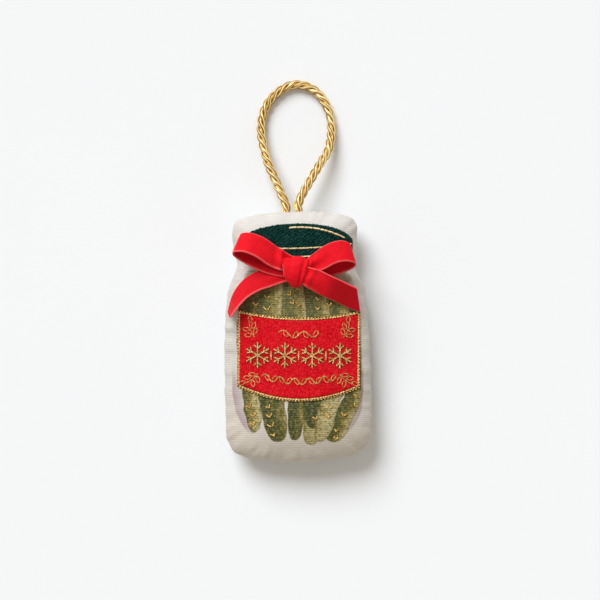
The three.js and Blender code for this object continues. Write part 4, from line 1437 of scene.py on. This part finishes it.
def cloth_band(name, face, back, gone, v, joined_up):
    """A closed band of cloth from its front and back points, rows along it, with its own coordinates."""
    ring = np.concatenate([face, back[:, ::-1]], 1)
    steps, sides = ring.shape[:2]
    index = np.arange(steps * sides).reshape(steps, sides)
    here, ahead = (index, np.roll(index, -1, 0)) if joined_up else (index[:-1], index[1:])
    faces = squares(here, ahead)
    count = len(v)
    hidden = [count - 1 <= side < 2 * count - 1 for side in range(sides)] * len(here)
    if not joined_up:
        for row in (index[0], index[-1]):
            last = 2 * count - 1
            faces += [[row[k], row[k + 1], row[last - 1 - k], row[last - k]] for k in range(count - 1)]
    wearing = hidden + [False] * (len(faces) - len(hidden))
    made = mesh_piece(name, ring.reshape(-1, 3), faces, wearing)
    uv = np.empty((steps, sides, 2))
    uv[..., 0] = gone[:, None]
    uv[..., 1] = np.concatenate([v, v[::-1]])[None] * 0.5 + 0.5
    corners = np.empty(len(made.data.loops), int)
    made.data.loops.foreach_get("vertex_index", corners)
    made.data.uv_layers.new(name="UVMap").data.foreach_set("uv", uv.reshape(-1, 2)[corners].ravel())
    chosen(made)
    bpy.ops.object.mode_set(mode="EDIT")
    bpy.ops.mesh.select_all(action="SELECT")
    bpy.ops.mesh.normals_make_consistent(inside=False)
    bpy.ops.object.mode_set(mode="OBJECT")
    return made


def bow_piece(made, node, length, *finishes):
    on_jar(made, finishes, "red_velvet", node)


def across_places(count):
    """Places across a ribbon from -1 to 1, closer together at its edges."""
    v = np.linspace(-1, 1, count)
    return np.sign(v) * np.abs(v) ** 0.8


def pile_height(v):
    return PILE * (1 - 0.75 * np.abs(v) ** 18) * np.where(np.abs(v) > 0.995, 0.3, 1.0)


def ribbon(name, stations, folds, puffs, node, finish, back_finish):
    """A velvet ribbon through its stations: a point, the way to its upper edge and a share of its width.

    Each fold is how many waves it has across, its depth, its shift, and where it fades out from and to.
    Each puff crosses the ribbon: how far along, its width, its height and its slant.
    """
    places = np.array([s[0] for s in stations])
    halves = np.array([Vector(s[1]).normalized() * (s[2] * RIBBON / 2) for s in stations])
    t = np.linspace(0, 1, 600)
    middle = curve_at(places, t)
    both = evenly(np.hstack([middle, curve_at(places + halves, t) - middle]), 0.42 * MM)[0]
    middle, half = both[:, :3], both[:, 3:]
    gone = along_of(middle)
    out = np.cross(np.gradient(middle, axis=0), half)
    out /= np.linalg.norm(out, axis=1)[:, None]
    if out[3, 2] < 0:
        out = -out
    v = across_places(30)
    moved = np.zeros((len(middle), len(v)))
    for waves, depth, shift, start, end in folds:
        fade = smooth(gone - end * gone[-1], 0, (start - end) * gone[-1])[:, None]
        moved += depth * fade * np.cos(math.pi * waves * v[None] + shift)
    for along, wide, height, slant in puffs:
        away = (gone[:, None] - along * MM - slant * v[None] * MM) / (wide * MM)
        moved += height * MM * np.exp(-(away**2))
    own = places[0][0]
    rough = np.array([[noise.noise(Vector((g, x * RIBBON / 2, own)) / (1.1 * MM)) for x in v] for g in gone])
    surface = middle[:, None] + v[None, :, None] * half[:, None] + moved[..., None] * out[:, None]
    thick = (pile_height(v)[None] + 0.07 * MM * rough)[..., None] * out[:, None]
    made = cloth_band(name, surface + thick, surface - 0.8 * thick, gone, v, False)
    bow_piece(made, node, gone[-1], finish, back_finish)


UP = (0, 1, 0)
LEFT_LOOP = [
    knotted(-0.1, 0.3, 0.5, UP, 0.7), knotted(-0.6, 0.46, 0.5, (0.22, 0.97, 0), 0.9),
    raised(-1.12, 0.74, 0.2, (0.36, 0.9, -0.1), 0.98), raised(-1.68, 1.13, 0.37, (0.42, 0.86, -0.2)),
    raised(-2.24, 1.35, 0.42, (0.42, 0.86, -0.2)), raised(-2.64, 1.36, 0.23, (0.42, 0.88, -0.1)),
    raised(-2.73, 1.25, -0.06, (0.4, 0.91, 0)), raised(-2.53, 1.06, -0.28, (0.36, 0.93, 0)),
    raised(-1.89, 0.68, -0.29, (0.4, 0.92, 0)), raised(-1.2, 0.34, -0.24, (0.34, 0.94, 0), 0.94),
    knotted(-0.64, 0.12, -0.75, (0.12, 1, 0), 0.75), knotted(-0.1, 0.04, -0.75, UP, 0.6),
]
RIGHT_LOOP = [
    knotted(0.1, 0.1, 0.4, UP, 0.7), knotted(0.56, 0.16, 0.4, (-0.1, 1, 0), 0.84),
    raised(0.88, 0.34, 0.13, (-0.16, 1, 0), 0.92), raised(1.3, 0.58, 0.3, (-0.22, 0.97, 0)),
    raised(1.76, 0.8, 0.38, (-0.18, 0.98, -0.1)), raised(2.2, 0.87, 0.36, (-0.18, 0.98, -0.1)),
    raised(2.56, 0.78, 0.2, (-0.26, 0.96, 0)), raised(2.61, 0.64, -0.08, (-0.26, 0.96, 0)),
    raised(2.4, 0.49, -0.3, (-0.24, 0.97, 0)), raised(1.82, 0.29, -0.33, (-0.2, 0.98, 0)),
    raised(1.14, 0.14, -0.3, (-0.12, 0.99, 0), 0.94), knotted(0.62, 0.03, -1.3, (-0.04, 1, 0), 0.75),
    knotted(0.1, 0.02, -1.3, UP, 0.6),
]
LEFT_TAIL = [
    knotted(-0.1, -0.06, -1.9, UP, 0.6), knotted(-0.58, -0.1, -2, (0.1, 1, 0), 0.84),
    draped(-1.16, -0.24, 0.3, (0.1, 0.95, -0.2), 0.96), draped(-1.87, -0.46, 0.42, (-0.14, 0.89, -0.4)),
    draped(-2.45, -0.83, 0.58, (-0.25, 0.76, -0.58), 1.02), draped(-2.88, -1.36, 0.68, (-0.27, 0.57, -0.76)),
    draped(-3.18, -1.98, 0.79, (-0.14, 0.28, -0.95)),
]
RIGHT_TAIL = [
    knotted(0.05, -0.1, 1.7, UP, 0.6), knotted(0.46, -0.27, 1.9, (0.22, 0.95, 0.05), 0.9),
    raised(0.88, -0.45, 0.24, (0.38, 0.9, 0.16), 1.02), raised(1.36, -0.7, 0.06, (0.4, 0.88, 0.3), 1.07),
    raised(1.92, -0.96, -0.22, (0.3, 0.88, 0.42), 1.12), raised(2.46, -1.23, -0.46, (0.14, 0.9, 0.46), 1.18),
    raised(2.87, -1.41, -0.6, (-0.12, 0.9, 0.45), 1.3),
]
FACE = ((0.82, 0.009, 0.019, 1), (0.66, 0.005, 0.014, 1), (0.92, 0.15, 0.15, 1))
# The ribbon's back, darker than its face, partly its own weave and partly painted shade inside the loops
INSIDE = ((0.62, 0.004, 0.012, 1), (0.48, 0.003, 0.009, 1), (0.86, 0.11, 0.11, 1))
VELVET = velvet("red velvet", *FACE, 0.7, 0.5)
# The right tail's velvet, with its edges and painted shade along its outer part
VELVET_EDGED = velvet("red velvet with its edges up", *FACE, 0.7, 0.4, 0.92, 0.93, (13 * MM, 9 * MM, 0.7))
VELVET_LAID = velvet("red velvet with its pile laid", *FACE, 0.7, 0.4, laid=(4 * MM, 16 * MM, 0.36))
RIBBON_BACK = velvet("ribbon back", *INSIDE, 0.6, 0.0)
# The knot's velvet: the ribbon's face painted darker, as painted shade on the knot
KNOT_VELVET = velvet("knot velvet", (0.74, 0.006, 0.016, 1), *FACE[1:], 0.7, 0.4, 0.985, 0.96, gathered=0.0)

# Folds: waves across, depth, shift, and the shares of the length that they fade from and to
ribbon("ribbon_loop_left", LEFT_LOOP,
       [(1.5, 0.9 * MM, 0.9, 0, 0.3), (2.4, 0.3 * MM, 0.4, 0, 0.14), (2.2, 0.6 * MM, 0.2, 1, 0.8)],
       [(6.6, 1.3, 1.0, 0.6), (9.6, 1.6, -0.4, 0.9)],
       "bow_loop_left", VELVET, RIBBON_BACK)
ribbon("ribbon_loop_right", RIGHT_LOOP,
       [(1.6, 0.9 * MM, -1.0, 0, 0.3), (2.6, 0.3 * MM, 0.6, 0, 0.14), (2.2, 0.6 * MM, 0.2, 1, 0.8)],
       [(6.2, 1.3, 1.1, 0.5), (9.2, 1.6, -0.4, 0.9)],
       "bow_loop_right", VELVET, RIBBON_BACK)
ribbon("ribbon_tail_left", LEFT_TAIL,
       [(1.5, 0.8 * MM, 0.6, 0, 0.5), (2.4, 0.3 * MM, 0.2, 0, 0.2)],
       [],
       "bow_tail_left", VELVET_LAID, RIBBON_BACK)
ribbon("ribbon_tail_right", RIGHT_TAIL,
       [(1.3, 0.8 * MM, 0.9, 0, 0.5), (2.2, 0.25 * MM, 0.2, 0, 0.2)],
       [(6.4, 1.3, 0.7, 0.8)],
       "bow_tail_right", VELVET_EDGED, RIBBON_BACK)


# Half widths of the knot in mm, at its middle, its top and its foot
KNOT_LEFT = (5.9, 6.6, 2.7)
KNOT_RIGHT = (5.2, 6.2, 2.6)

# Folds in the knot: place across, width, depth in mm, lean, and where round it they are deepest
KNOT_FOLDS = ((0.52, 0.16, 0.85, 0.16, 0.4), (-0.5, 0.2, 0.4, 0.1, 0.9))


def knot_half(widths, rise):
    middle, top, foot = widths
    return np.where(rise > 0, between(middle, top, rise), between(middle, foot, rise**2)) * MM


def bow_knot():
    """A puffy band of ribbon round the bow's gathered middle, wide at its top and narrow at its foot."""
    turns = 130
    turn = ring_angles(turns)
    rise = np.sin(turn)
    left, right = knot_half(KNOT_LEFT, rise), knot_half(KNOT_RIGHT, rise)
    v = across_places(34)
    middle_y = KNOT.y - 0.5 * MM
    deep = (KNOT_HIGH.z - KNOT_LOW.z) / 2 - PILE
    tall = 7.4 * MM - PILE
    crown = np.clip(1 - np.abs(v) ** 2.6, 0, 1) ** 0.5
    folds = sum(
        depth * MM * np.exp(-(((v[None] - place - lean * rise[:, None]) / width) ** 2))
        * (0.55 + 0.45 * np.cos(turn[:, None] - when))
        for place, width, depth, lean, when in KNOT_FOLDS
    )

    def bumps(across, along):
        ring = [(across * math.cos(a), across * math.sin(a)) for a in turn]
        return np.array([[noise.noise(Vector((*place, along * x))) for x in v] for place in ring])

    inward = (1 - crown)[None] * 2.3 * MM + folds - 0.3 * MM * bumps(3, 2.2)
    half = np.where(v[None] < 0, left[:, None], right[:, None])
    x = KNOT.x - 0.2 * MM + 0.3 * MM * rise[:, None] + half * v[None]
    y = middle_y + (tall - inward) * rise[:, None]
    z = KNOT.z + (deep - inward) * np.cos(turn)[:, None]
    face = np.stack([x, y, z], -1)
    out = np.stack([np.zeros(turns), rise, np.cos(turn)], -1)[:, None]
    thick = (pile_height(v)[None] + 0.08 * MM * bumps(18, 14))[..., None] * out
    made = cloth_band("ribbon_knot", face + thick, face - thick, turn * tall, v, True)
    bow_piece(made, "bow_knot", math.pi * (tall + deep), KNOT_VELVET, RIBBON_BACK)


bow_knot()
